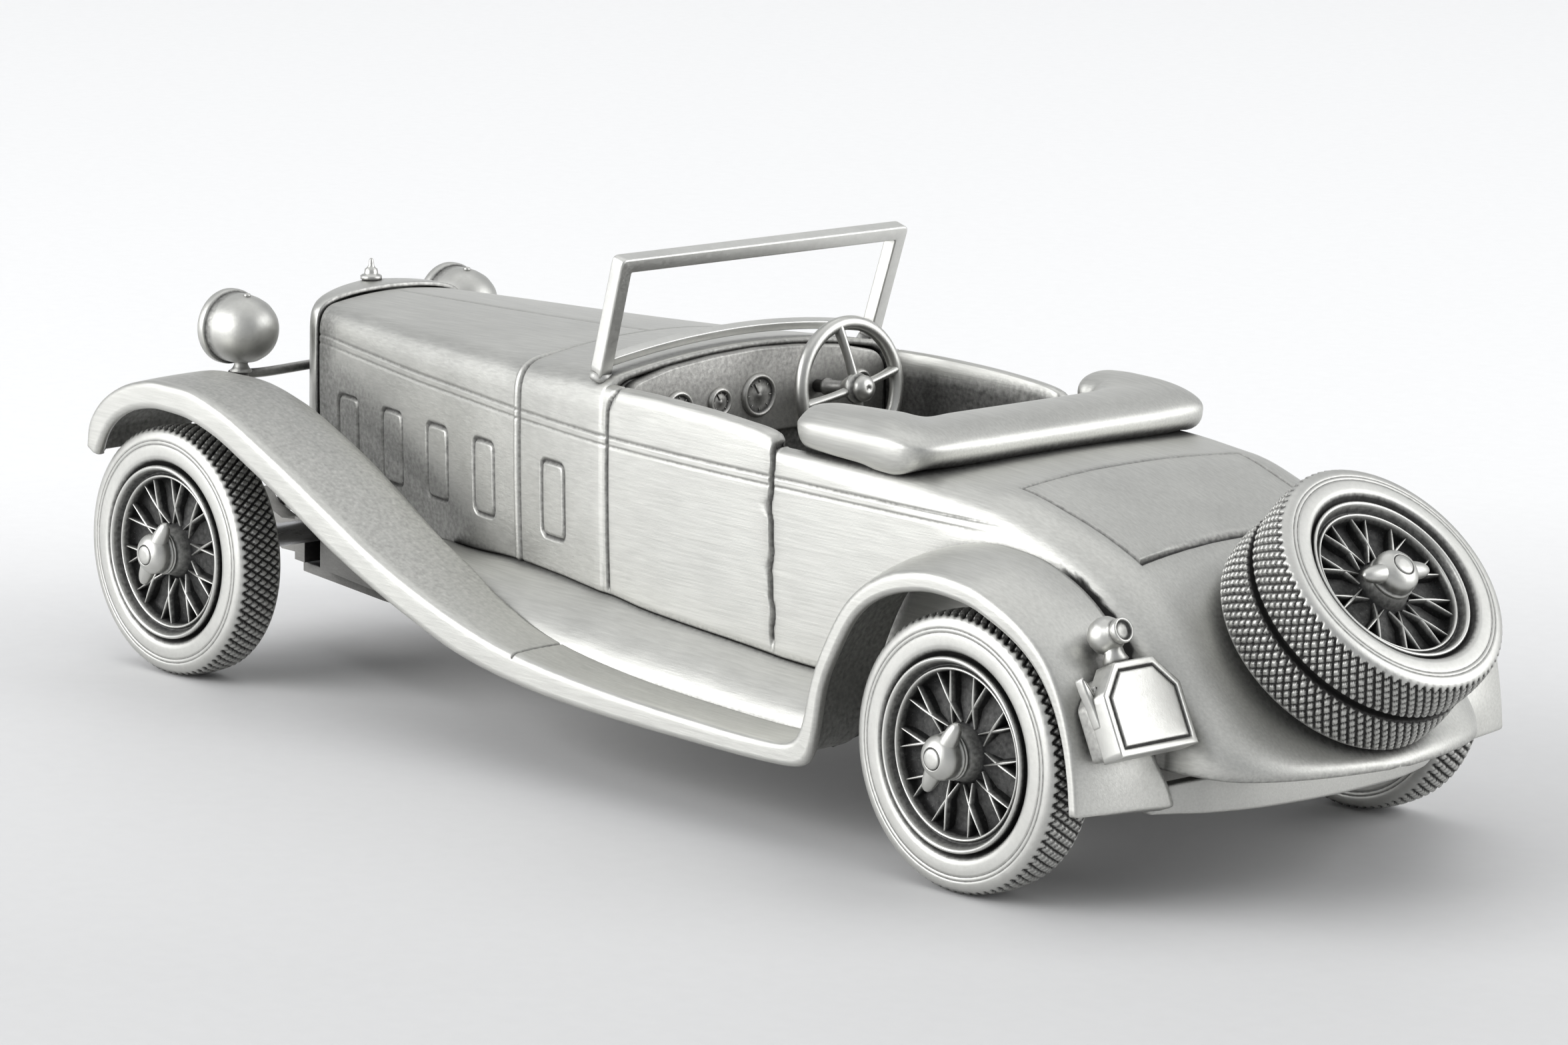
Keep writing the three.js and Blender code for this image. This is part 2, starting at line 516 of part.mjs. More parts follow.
// Dashboard with its round dials.
{
  const pts = [[-11.9, 21.4], [11.9, 21.4], [11.95, 25.0], [11.2, 26.0], [8, 26.65], [4, 27.05], [0, 27.2], [-4, 27.05], [-8, 26.65], [-11.2, 26.0], [-11.95, 25.0]];
  let g = solid(slabX(pts, 40.5, 41.25));
  for (const [y, r, z] of [[0, 1.45, 24.1], [3.6, 0.95, 24.0], [7.4, 1.2, 23.9], [-9.6, 0.95, 23.9]])
    g = g.add(solid(rod(V(40.15, y, z), V(40.8, y, z), r, 16)));
  add("dashboard", geometryOf(g), darkPewter());
}
// Steering wheel and column, on the right-hand side.
{
  const { x, y, z, r, tube: q, tilt } = STEER;
  const n = V(-Math.cos(tilt), 0, Math.sin(tilt));
  const t = V(Math.sin(tilt), 0, Math.cos(tilt));
  const c = V(x, y, z);
  const ring = [];
  for (let i = 0; i < 6; i++) {
    const a = (i / 6) * 2 * Math.PI;
    ring.push([r + q * Math.cos(a), q * Math.sin(a)]);
  }
  ring.push(ring[0]);
  let g = solid(turned(ring, 22, c, n));
  for (let k = 0; k < 4; k++) {
    const a = 0.19 + (k * Math.PI) / 2;
    const dir = V(0, -Math.cos(a), 0).add(t.clone().multiplyScalar(Math.sin(a)));
    g = g.add(solid(rod(c.clone().addScaledVector(n, 0.55), c.clone().addScaledVector(dir, r), 0.3, 6)));
  }
  g = g.add(solid(turned([[0, -0.25], [0.5, -0.25], [0.7, 0.4], [0.85, 0.9], [0.8, 1.4], [0.5, 1.85], [0, 2.0]], 14, c, n)));
  add("steering_wheel", geometryOf(g), pewter());
  add("steering_column", rod(c.clone().addScaledVector(n, -0.55), c.clone().addScaledVector(n, -2.75), 0.45, 12), darkPewter());
}
// Bench seat.
add(
  "bench_seat",
  slabXZ([[18.3, 9.95], [33.2, 9.95], [33.6, 14.6], [32.8, 15.4], [22.0, 14.9], [20.3, 23.0], [19.2, 23.9], [17.6, 23.6], [17.5, 22.6]], -12.0, 12.0),
  darkPewter(),
);
function slabXZ(points, y0, y1) {
  return loft([points.map(([x, z]) => V(x, y0, z)), points.map(([x, z]) => V(x, y1, z))]);
}

// Folded top under its cover: a padded roll round the back of the cockpit.
{
  // Stations round the roll: outer edge (x, y), inner edge (x, y), bottom, top.
  const stations = [
    [22.4, 12.6, 22.4, 11.2, 26.0, 26.9],
    [21.95, 13.6, 21.95, 10.1, 25.5, 27.35],
    [20.8, 14.1, 20.8, 9.5, 25.2, 27.55],
    [18.8, 14.2, 19.2, 9.35, 25.1, 27.65],
    [16.2, 14.2, 17.9, 9.2, 25.1, 27.7],
    [13.3, 14.15, 16.9, 8.7, 25.1, 27.7],
    [11.4, 13.6, 16.4, 8.0, 25.1, 27.55],
    [10.4, 12.2, 16.2, 7.2, 25.1, 27.45],
    [10.05, 8.5, 16.15, 5.6, 25.1, 27.4],
    [9.95, 4.0, 16.1, 2.9, 25.1, 27.4],
    [9.95, 0.0, 16.1, 0.0, 25.1, 27.4],
  ];
  // The far arm is shorter than the near one.
  const shorten = ([a, b, c, d, e, f]) => [a > 17 ? 17 + (a - 17) * 0.52 : a, -b, c > 17 ? 17 + (c - 17) * 0.52 : c, -d, e, f];
  const full = stations.concat(stations.slice(0, -1).reverse().map(shorten));
  const rings = full.map(([xo, yo, xi, yi, lo, hi]) => {
    const ring = [];
    for (let k = 0; k < 12; k++) {
      const an = (k / 12) * 2 * Math.PI;
      const c = Math.sign(Math.cos(an)) * Math.abs(Math.cos(an)) ** 0.8,
        v = Math.sign(Math.sin(an)) * Math.abs(Math.sin(an)) ** 0.8;
      const u = 0.5 - 0.5 * c;
      ring.push(V(xo + (xi - xo) * u, yo + (yi - yo) * u, (lo + hi) / 2 + ((hi - lo) / 2) * v));
    }
    return ring;
  });
  add("folded_top", loft(rings), pewter());
}

// Number plate box and tail lamp on the left rear wing.
{
  const tip = (26 * Math.PI) / 180;
  const n = V(-Math.cos(tip), 0, Math.sin(tip)),
    up = V(Math.sin(tip), 0, Math.cos(tip));
  const face = V(-14.45, 16.5, 11.5); // middle of the lower edge of the plate's face
  const pts = [[-3.4, 0], [3.4, 0], [3.4, 4.0], [1.7, 5.9], [-1.7, 5.9], [-3.4, 4.0]];
  const ring = (d) => pts.map(([a, b]) => face.clone().add(V(0, a, 0)).addScaledVector(up, b).addScaledVector(n, d));
  add("number_plate_box", loft([ring(0), ring(-1.6)]), pewter());
  const lampAt = face.clone().addScaledVector(up, 6.25).addScaledVector(n, -1.0).add(V(0.2, 0.2, 0));
  let g = solid(turned([[0, -1.15], [0.6, -1.1], [1.05, -0.6], [1.15, 0], [1.0, 0.6], [0.75, 1.0], [0.75, 1.5], [0, 1.5]], 14, lampAt.clone().addScaledVector(up, 1.45), V(-1, 0, 0.4)));
  g = g.add(solid(rod(lampAt, lampAt.clone().addScaledVector(up, 1.0), 0.55, 10)));
  add("tail_lamp", geometryOf(g), pewter());
}

// ---------- wheels ----------
// Profiles are [radius, distance along the axle], the distance growing outwards.
const tyreProfile = (k = 1) =>
  [
    [TYRE_BORE_R, -1.6], [TYRE_BORE_R, 1.6], [7.3, TYRE_HALF_W], [8.4, 1.85], [8.95, 1.3], [TYRE_R, 0.7],
    [TYRE_R, -0.7], [8.95, -1.3], [8.4, -1.85], [7.3, -TYRE_HALF_W], [TYRE_BORE_R, -1.6],
  ].map(([r, t]) => [r * k, t * k]);
const wheelProfile = (k = 1, bore = AXLE_R + 0.15) => [
  [bore, -1.9 * k], [2.1 * k, -1.9 * k], [2.3 * k, -0.7 * k], [5.1 * k, -0.7 * k], [5.2 * k, -1.6 * k], [RIM_R * k, -1.6 * k],
  [RIM_R * k, 2.0 * k], [5.6 * k, 2.0 * k], [5.3 * k, 0.5 * k], [2.3 * k, 0.7 * k], [1.95 * k, 1.6 * k], [bore, 1.6 * k], [bore, -1.9 * k],
];
const nutProfile = (k = 1) => [
  [0, 0], [1.75 * k, 0], [1.6 * k, 0.75 * k], [1.15 * k, 1.25 * k], [0.95 * k, 1.85 * k], [0.7 * k, 2.0 * k], [0, 2.0 * k],
];
function ears(origin, axis, k, degrees) {
  // Two blunt ears for the knock-off, turned from upright by the given angle.
  const u = V(0, 0, 1).clone().addScaledVector(axis, -axis.z).normalize();
  const w = axis.clone().cross(u);
  const r = (degrees * Math.PI) / 180;
  const e = u.clone().multiplyScalar(Math.cos(r)).addScaledVector(w, Math.sin(r)).normalize();
  const f = axis.clone().cross(e);
  const P = (a, b, c) => origin.clone().addScaledVector(e, a * k).addScaledVector(f, b * k).addScaledVector(axis, c * k);
  return [1, -1].map((s) =>
    loft([
      [P(0.3 * s, -0.55, 0.45), P(0.3 * s, 0.55, 0.45), P(0.3 * s, 0.55, 1.35), P(0.3 * s, -0.55, 1.35)],
      [P(1.5 * s, -0.5, 0.6), P(1.5 * s, 0.5, 0.6), P(1.5 * s, 0.42, 1.3), P(1.5 * s, -0.42, 1.3)],
      [P(2.75 * s, -0.25, 0.7), P(2.75 * s, 0.25, 0.7), P(2.75 * s, 0.2, 1.1), P(2.75 * s, -0.2, 1.1)],
    ]),
  );
}
function hubNut(origin, axis, k, degrees) {
  return join(turned(nutProfile(k), 12, origin, axis), ...ears(origin, axis, k, degrees));
}
for (const [end, x] of [["front", WHEELBASE], ["rear", 0]]) {
  add(end + "_axle", rod(V(x, -AXLE_HALF + 0.6, AXLE_Z), V(x, AXLE_HALF - 0.6, AXLE_Z), AXLE_R, 16), steel());
  for (const [side, s] of [["left", 1], ["right", -1]]) {
    const o = V(x, s * TYRE_Y, AXLE_Z),
      a = V(0, s, 0);
    add(`tyre_${end}_${side}`, turned(tyreProfile(), TYRE_SEGMENTS, o, a), pewter());
    add(`wire_wheel_${end}_${side}`, turned(wheelProfile(), 18, o, a), darkPewter());
    add(`hub_nut_${end}_${side}`, hubNut(o.clone().addScaledVector(a, 1.85), a, 1, -30), pewter());
  }
}
// Spare: two tyres, one wire wheel with its knock-off, on a carrier from the tail.
{
  const a = V(-Math.cos(SPARE_PITCH), 0, Math.sin(SPARE_PITCH));
  const face = V(SPARE_X, 0, SPARE_Z);
  const k = SPARE_SCALE;
  const half = TYRE_HALF_W * k;
  const outer = face.clone().addScaledVector(a, -half);
  const inner = face.clone().addScaledVector(a, -3 * half - CLEAR);
  add("spare_tyre_outer", turned(tyreProfile(k), TYRE_SEGMENTS, outer, a), pewter());
  add("spare_tyre_inner", turned(tyreProfile(k), TYRE_SEGMENTS, inner, a), pewter());
  add("spare_wire_wheel", turned(wheelProfile(k, 0.9), 18, outer.clone().addScaledVector(a, -0.1), a), darkPewter());
  add("spare_hub_nut", hubNut(outer.clone().addScaledVector(a, 1.6 * k + 0.15), a, 0.9, 86), pewter());
  // Carrier: a flanged drum inside the inner tyre, with a pin through the outer wheel's hub.
  const base = inner.clone().addScaledVector(a, -half + 0.35);
  const L = inner.clone().addScaledVector(a, half).sub(base).length();
  add(
    "spare_carrier",
    turned([[0, 0], [3.2, 0], [3.2, 0.6], [5.7, 0.9], [5.7, L - 0.4], [0.65, L - 0.4], [0.65, L + 3.0], [0, L + 3.0]], 20, base, a),
    darkPewter(),
  );
}

// ---------- scene graph ----------
const car = new THREE.Group();
const nodes = new THREE.Group();
nodes.position.set(REAR_AXLE_X, 0, 0);
for (const [name, [geometry, material]] of parts) {
  const mesh = new THREE.Mesh(geometry, material);
  mesh.name = name;
  nodes.add(mesh);
}
car.add(nodes);
export default car;
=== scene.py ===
"""A satin pewter collector car, about 1:43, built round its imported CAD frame.

Shapes are worked out in millimetres in a frame whose x starts at the rear axle, and are
moved to the row frame (metres, origin on the ground under the middle) as they are built.
"""
import math

import bmesh
import bpy
import numpy as np
from mathutils import Matrix, Vector


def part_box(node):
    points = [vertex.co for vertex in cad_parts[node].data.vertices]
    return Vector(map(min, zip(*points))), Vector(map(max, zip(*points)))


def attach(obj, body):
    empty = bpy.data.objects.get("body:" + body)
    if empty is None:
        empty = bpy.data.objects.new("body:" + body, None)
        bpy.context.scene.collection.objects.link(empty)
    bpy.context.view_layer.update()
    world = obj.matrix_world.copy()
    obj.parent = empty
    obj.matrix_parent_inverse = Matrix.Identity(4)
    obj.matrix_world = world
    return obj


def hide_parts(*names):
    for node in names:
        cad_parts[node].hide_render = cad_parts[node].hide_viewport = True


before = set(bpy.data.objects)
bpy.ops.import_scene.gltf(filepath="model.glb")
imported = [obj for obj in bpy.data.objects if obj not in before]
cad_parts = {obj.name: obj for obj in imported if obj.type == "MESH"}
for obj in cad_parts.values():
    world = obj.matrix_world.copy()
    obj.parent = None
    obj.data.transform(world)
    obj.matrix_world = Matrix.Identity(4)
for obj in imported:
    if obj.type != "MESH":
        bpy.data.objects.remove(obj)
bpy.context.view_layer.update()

MM = 0.001
_lo, _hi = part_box("rear_axle")
RX = (_lo[0] + _hi[0]) / 2 / MM  # the rear axle's place along the car, in mm
pi = math.pi

# ------------------------------------------------------------------ camera
CAM_AZ, CAM_EL, CAM_ROLL = map(math.radians, (227.051, 11.147, 1.053))
CAM_AT = np.array([-282.177 + RX, 297.72, 101.688]) * MM
_b = Vector((math.sin(CAM_AZ) * math.cos(CAM_EL), -math.cos(CAM_AZ) * math.cos(CAM_EL), math.sin(CAM_EL)))
_r0 = Vector((0, 0, 1)).cross(_b).normalized()
_u0 = _b.cross(_r0)
_r = _r0 * math.cos(CAM_ROLL) + _u0 * math.sin(CAM_ROLL)
_u = -_r0 * math.sin(CAM_ROLL) + _u0 * math.cos(CAM_ROLL)
cam_data = bpy.data.cameras.new("camera")
cam = bpy.data.objects.new("camera", cam_data)
bpy.context.scene.collection.objects.link(cam)
cam.matrix_world = Matrix(
    ((_r.x, _u.x, _b.x, CAM_AT[0]), (_r.y, _u.y, _b.y, CAM_AT[1]), (_r.z, _u.z, _b.z, CAM_AT[2]), (0, 0, 0, 1))
)
cam_data.sensor_width = 36.0
cam_data.sensor_fit = "HORIZONTAL"
cam_data.lens = 148.6
cam_data.clip_start = 0.01
cam_data.clip_end = 20
cam_data.dof.use_dof = False
bpy.context.scene.camera = cam


# ------------------------------------------------------------------ numbers
def smooth(t):
    t = np.clip(t, 0.0, 1.0)
    return t * t * (3 - 2 * t)


def pchip(xs, ys, x):
    """A monotone cubic through (xs, ys), xs rising, read at x."""
    xs, ys = np.asarray(xs, float), np.asarray(ys, float)
    x = np.clip(np.asarray(x, float), xs[0], xs[-1])
    h = np.diff(xs)
    d = np.diff(ys) / h
    m = np.zeros_like(ys)
    for i in range(1, len(xs) - 1):
        if d[i - 1] * d[i] > 0:
            w1, w2 = 2 * h[i] + h[i - 1], h[i] + 2 * h[i - 1]
            m[i] = (w1 + w2) / (w1 / d[i - 1] + w2 / d[i])
    m[0], m[-1] = d[0], d[-1]
    i = np.clip(np.searchsorted(xs, x) - 1, 0, len(h) - 1)
    t = (x - xs[i]) / h[i]
    t2, t3 = t * t, t * t * t
    return (
        (2 * t3 - 3 * t2 + 1) * ys[i]
        + (t3 - 2 * t2 + t) * h[i] * m[i]
        + (-2 * t3 + 3 * t2) * ys[i + 1]
        + (t3 - t2) * h[i] * m[i + 1]
    )


def catmull(points, n, closed=False):
    """n points evenly spread along a centripetal-like cubic through the given points."""
    p = np.asarray(points, float)
    if closed:
        p = np.vstack([p[-1], p, p[0], p[1]])
    else:
        p = np.vstack([2 * p[0] - p[1], p, 2 * p[-1] - p[-2]])
    out = []
    for i in range(1, len(p) - 2):
        for t in np.linspace(0, 1, 24, endpoint=False):
            a, b, c, d = p[i - 1], p[i], p[i + 1], p[i + 2]
            out.append(0.5 * (2 * b + (c - a) * t + (2 * a - 5 * b + 4 * c - d) * t * t + (3 * b - a - 3 * c + d) * t**3))
    if not closed:
        out.append(p[-2])
    out = np.array(out)
    if closed:
        out = np.vstack([out, out[0]])
    s = np.concatenate([[0], np.cumsum(np.linalg.norm(np.diff(out, axis=0), axis=1))])
    at = np.linspace(0, s[-1], n + 1)[:-1] if closed else np.linspace(0, s[-1], n)
    return np.stack([np.interp(at, s, out[:, k]) for k in range(out.shape[1])], 1)


def filleted(points, radius, steps=4, closed=True):
    """The polygon with each corner replaced by a small arc. radius is one number or one per corner."""
    p = np.asarray(points, float)
    n = len(p)
    r = np.full(n, radius, float) if np.isscalar(radius) else np.asarray(radius, float)
    out = []
    for i in range(n):
        if not closed and i in (0, n - 1):
            out.append(p[i])
            continue
        a, b, c = p[i - 1], p[i], p[(i + 1) % n]
        la, lc = np.linalg.norm(a - b), np.linalg.norm(c - b)
        k = min(r[i], la * 0.48, lc * 0.48)
        if k < 1e-6:
            out.append(b)
            continue
        s, e = b + (a - b) / la * k, b + (c - b) / lc * k
        for t in np.linspace(0, 1, steps + 1):
            out.append((1 - t) ** 2 * s + 2 * t * (1 - t) * b + t * t * e)
    return np.array(out)


def dense(points, step, closed=True):
    """The polyline with every span longer than step divided."""
    p = np.asarray(points, float)
    out = []
    m = len(p) if closed else len(p) - 1
    for i in range(m):
        a, b = p[i], p[(i + 1) % len(p)]
        k = max(1, int(math.ceil(np.linalg.norm(b - a) / step)))
        for t in range(k):
            out.append(a + (b - a) * t / k)
    if not closed:
        out.append(p[-1])
    return np.array(out)


# ------------------------------------------------------------------ mesh building
class Part:
    """Collects surfaces in millimetres and makes one object of them."""

    def __init__(self):
        self.v, self.f, self.c = [], [], []
        self.n = 0

    def add(self, verts, faces, cav=None):
        verts = np.asarray(verts, float).reshape(-1, 3)
        self.v.append(verts)
        self.c.append(np.zeros(len(verts)) if cav is None else np.broadcast_to(np.asarray(cav, float).reshape(-1), (len(verts),)))
        self.f += [[i + self.n for i in f] for f in faces]
        self.n += len(verts)
        return self

    def grid(self, P, cav=None, close_u=False, close_v=False, cap0=False, cap1=False, flip=False):
        P = np.asarray(P, float)
        nu, nv = P.shape[:2]
        idx = np.arange(nu * nv).reshape(nu, nv)
        iu = np.arange(nu if close_u else nu - 1)
        iv = np.arange(nv if close_v else nv - 1)
        a = idx[np.ix_(iu, iv)]
        b = idx[np.ix_((iu + 1) % nu, iv)]
        c = idx[np.ix_((iu + 1) % nu, (iv + 1) % nv)]
        d = idx[np.ix_(iu, (iv + 1) % nv)]
        faces = np.stack([a, b, c, d], -1).reshape(-1, 4)
        if flip:
            faces = faces[:, ::-1]
        faces = faces.tolist()
        if cap0:
            faces.append(idx[0].tolist()[:: -1 if flip else 1])
        if cap1:
            faces.append(idx[-1].tolist()[:: 1 if flip else -1])
        if cav is not None:
            cav = np.broadcast_to(cav, (nu, nv)).reshape(-1)
        return self.add(P.reshape(-1, 3), faces, cav)

    def turned(self, profile, segs, origin, axis, cav=None, turn=0.0, wave=None):
        """A lathe surface: profile rows are (radius, distance along the axis). wave(theta, radius, t) moves points radially."""
        pr = np.asarray(profile, float)
        A = np.asarray(axis, float)
        A = A / np.linalg.norm(A)
        U = np.array([0, 0, 1.0]) - A * A[2]
        if np.linalg.norm(U) < 1e-3:
            U = np.array([1.0, 0, 0])
        U /= np.linalg.norm(U)
        W = np.cross(A, U)
        th = np.linspace(0, 2 * pi, segs, endpoint=False) + turn
        R = np.broadcast_to(pr[:, 0], (segs, len(pr))).copy()
        T = np.broadcast_to(pr[:, 1], (segs, len(pr))).copy()
        C = None
        if wave is not None:
            R, T, C = wave(th[:, None], R, T)
        P = (
            np.asarray(origin, float)
            + (R * np.cos(th)[:, None])[..., None] * U
            + (R * np.sin(th)[:, None])[..., None] * W
            + T[..., None] * A
        )
        if cav is not None:
            base = np.broadcast_to(np.asarray(cav, float), (segs, len(pr)))
            C = base if C is None else np.maximum(C, base)
        return self.grid(P, C, close_u=True)

    def tube(self, points, r, sides=16, closed=False, cav=None, flat=1.0, up=(0, 0, 1)):
        """A round bar along points; r is one number or one per point."""
        p = np.asarray(points, float)
        n = len(p)
        r = np.full(n, r, float) if np.isscalar(r) else np.asarray(r, float)
        rings = []
        for i in range(n):
            if closed:
                t = p[(i + 1) % n] - p[i - 1]
            else:
                t = p[min(i + 1, n - 1)] - p[max(i - 1, 0)]
            t = t / np.linalg.norm(t)
            a = np.cross(np.asarray(up, float), t)
            if np.linalg.norm(a) < 1e-3:
                a = np.cross([1.0, 0, 0], t)
            a /= np.linalg.norm(a)
            b = np.cross(t, a)
            q = np.linspace(0, 2 * pi, sides, endpoint=False)
            rings.append(p[i] + r[i] * (np.cos(q)[:, None] * a + flat * np.sin(q)[:, None] * b))
        if not closed:
            # Rounded ends.
            for end, o in ((0, 1), (-1, -2)):
                t = rings[end].mean(0) - rings[o].mean(0)
                t = t / np.linalg.norm(t)
                c = rings[end].mean(0)
                e1 = c + (rings[end] - c) * 0.75 + t * r[end] * 0.3
                e2 = c + (rings[end] - c) * 0.3 + t * r[end] * 0.42
                if end == 0:
                    rings = [e2, e1] + rings
                else:
                    rings = rings + [e1, e2]
        return self.grid(np.array(rings), cav, close_u=closed, close_v=True, cap0=not closed, cap1=not closed)

    def prism(self, outline, frame4, depth, bevel=0.1, cav=None, engrave=None, step=None):
        """A slab: outline in 2-D, frame4 = (origin, u, v, n); it runs from the face at n=0 back to n=-depth, its edges rounded."""
        O, U, Vv, N = [np.asarray(q, float) for q in frame4]
        p = np.asarray(outline, float)
        area_ = 0.5 * np.sum(p[:, 0] * np.roll(p[:, 1], -1) - np.roll(p[:, 0], -1) * p[:, 1])
        if area_ < 0:
            p = p[::-1]
        nxt, prv = np.roll(p, -1, 0), np.roll(p, 1, 0)
        e1 = (p - prv) / np.maximum(np.linalg.norm(p - prv, axis=1), 1e-9)[:, None]
        e2 = (nxt - p) / np.maximum(np.linalg.norm(nxt - p, axis=1), 1e-9)[:, None]
        n1, n2 = np.stack([-e1[:, 1], e1[:, 0]], 1), np.stack([-e2[:, 1], e2[:, 0]], 1)
        m = n1 + n2
        m /= np.linalg.norm(m, axis=1, keepdims=True)
        m /= np.maximum((m * n1).sum(1), 0.35)[:, None]
        counts = [1 if not step else max(1, int(math.ceil(np.linalg.norm(b - a) / step))) for a, b in zip(p, nxt)]
        rings, cs = [], []

        def ring(inset, d, c=0.0):
            q = p + m * inset
            w = []
            for a, b, k in zip(q, np.roll(q, -1, 0), counts):
                w += [a + (b - a) * t / k for t in range(k)]
            q = np.array(w)
            rings.append(O + q[:, :1] * U + q[:, 1:] * Vv + N * d)
            cs.append(np.full(len(q), c))

        for k in range(4):
            a = k / 3 * pi / 2
            ring(bevel * (1 - math.sin(a)), -depth + bevel * (1 - math.cos(a)))
        for k in range(4):
            a = k / 3 * pi / 2
            ring(bevel * (1 - math.cos(a)), -bevel * (1 - math.sin(a)))
        if engrave:
            for inset, d, c in engrave:
                ring(inset, d, c)
        C = np.array(cs)
        if cav is not None:
            C = np.maximum(C, cav)
        return self.grid(np.array(rings), C, close_v=True, cap0=True, cap1=True)

    def make(self, name, mat, body, slot, nodes=(), recalc=True, sharp=None, merge=1e-7, subdiv=0):
        v = np.vstack(self.v)
        v = (v + np.array([RX, 0, 0])) * MM
        me = bpy.data.meshes.new(name)
        me.from_pydata(v.tolist(), [], self.f)
        at = me.attributes.new("cav", "FLOAT", "POINT")
        at.data.foreach_set("value", np.concatenate(self.c).astype(np.float32))
        bm = bmesh.new()
        bm.from_mesh(me)
        bmesh.ops.remove_doubles(bm, verts=bm.verts, dist=merge)
        if recalc:
            bmesh.ops.recalc_face_normals(bm, faces=bm.faces)
        bm.to_mesh(me)
        bm.free()
        me.polygons.foreach_set("use_smooth", [True] * len(me.polygons))
        if sharp:
            me.set_sharp_from_angle(angle=math.radians(sharp))
        me.update()
        o = bpy.data.objects.new(name, me)
        bpy.context.scene.collection.objects.link(o)
        o.data.materials.append(mat)
        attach(o, body)
        if nodes:
            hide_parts(*nodes)
        return o


# ------------------------------------------------------------------ materials
def pewter(
    name,
    base=(0.60, 0.595, 0.58),
    dark=(0.030, 0.029, 0.028),
    rough=0.36,
    patina=0.9,
    ao=1.5,
    ao_low=0.30,
    ao_high=0.80,
    streak=(0.25, 7.0, 7.0),
    grain=0.22,
    brushed=0.25,
    mottle=0.10,
    floor_mask=0.0,
    speckle=0.0,
):
    """Cast pewter: brushed and grained, with dark patina held in its recesses and painted shade in its crevices from
    the AO node.
    """
    m = bpy.data.materials.new(name)
    m.use_nodes = True
    nt = m.node_tree
    nt.nodes.clear()
    N, L = nt.nodes.new, nt.links.new

    def node(kind, **kw):
        n = N(kind)
        for k, v in kw.items():
            setattr(n, k, v)
        return n

    def math_(op, a, b=None, clamp=False):
        n = node("ShaderNodeMath", operation=op, use_clamp=clamp)
        for i, q in enumerate((a, b)):
            if q is None:
                continue
            if isinstance(q, (int, float)):
                n.inputs[i].default_value = q
            else:
                L(q, n.inputs[i])
        return n.outputs[0]

    def ramp(x, a, b, c=0.0, d=1.0, smoothly=True):
        n = node("ShaderNodeMapRange", interpolation_type="SMOOTHSTEP" if smoothly else "LINEAR", clamp=True)
        L(x, n.inputs["Value"])
        for key, val in (("From Min", a), ("From Max", b), ("To Min", c), ("To Max", d)):
            n.inputs[key].default_value = val
        return n.outputs["Result"]

    out = node("ShaderNodeOutputMaterial")
    bsdf = node("ShaderNodeBsdfPrincipled")
    L(bsdf.outputs[0], out.inputs["Surface"])
    tc = node("ShaderNodeTexCoord")

    def noise(scale, detail=2.0, rough_=0.5, stretch=None):
        mp = node("ShaderNodeMapping")
        s = stretch or (1, 1, 1)
        mp.inputs["Scale"].default_value = tuple(1000.0 * q for q in s)
        L(tc.outputs["Object"], mp.inputs["Vector"])
        n = node("ShaderNodeTexNoise")
        n.inputs["Scale"].default_value = scale
        n.inputs["Detail"].default_value = detail
        n.inputs["Roughness"].default_value = rough_
        L(mp.outputs[0], n.inputs["Vector"])
        return n.outputs["Fac"]

    n_brush = noise(1.0, 3.0, 0.55, streak)
    n_brush2 = noise(2.3, 2.0, 0.5, streak)
    n_grain = noise(9.0, 3.0, 0.6)
    n_pits = noise(3.1, 2.0, 0.5)
    n_big = noise(0.16, 3.0, 0.55)

    # Where the dark patina and the painted shade sit: the cav attribute and the AO node's crevice darkening.
    cav = node("ShaderNodeAttribute", attribute_type="GEOMETRY", attribute_name="cav")
    # The AO node darkens crevices and gaps between parts: painted shade as well as real patina; the patina argument
    # scales it.
    occ = node("ShaderNodeAmbientOcclusion", samples=6)
    occ.inputs["Distance"].default_value = ao * MM
    crevice_shade_and_patina = ramp(occ.outputs["AO"], ao_low, ao_high, 1.0, 0.0)
    crevice_shade_and_patina = math_("MULTIPLY", crevice_shade_and_patina, patina)
    mask = math_("MAXIMUM", cav.outputs["Fac"], crevice_shade_and_patina)
    wob = math_("MULTIPLY", math_("SUBTRACT", n_pits, 0.5), 0.7)
    wob = math_("MULTIPLY", wob, math_("MULTIPLY", ramp(mask, 0.02, 0.35), ramp(mask, 0.7, 1.0, 1.0, 0.2)))
    mask = math_("ADD", mask, wob, clamp=True)
    if speckle:
        dots = math_("MULTIPLY", ramp(n_grain, 0.62, 0.72), speckle)
        mask = math_("SUBTRACT", mask, math_("MULTIPLY", dots, mask), clamp=True)

    # Tone of the bare metal.
    tone = math_("ADD", math_("MULTIPLY", math_("SUBTRACT", n_big, 0.5), mottle * 2), 1.0)
    tone = math_("MULTIPLY", tone, ramp(n_brush, 0.2, 0.8, 1 - 0.45 * brushed, 1 + 0.2 * brushed, False))
    hsv = node("ShaderNodeVectorMath", operation="SCALE")
    hsv.inputs[0].default_value = base
    L(tone, hsv.inputs["Scale"])
    mix = node("ShaderNodeMix", data_type="RGBA")
    L(mask, mix.inputs["Factor"])
    L(hsv.outputs[0], mix.inputs["A"])
    mix.inputs["B"].default_value = (*dark, 1)
    L(mix.outputs["Result"], bsdf.inputs["Base Color"])

    ro = ramp(n_brush2, 0.25, 0.75, rough - 0.05, rough + 0.07, False)
    ro = math_("ADD", ro, math_("MULTIPLY", math_("SUBTRACT", n_big, 0.5), 0.14))
    ro = math_("ADD", ro, math_("MULTIPLY", mask, 0.16), clamp=True)
    L(ro, bsdf.inputs["Roughness"])
    L(ramp(mask, 0.0, 1.0, 1.0, 0.45, False), bsdf.inputs["Metallic"])

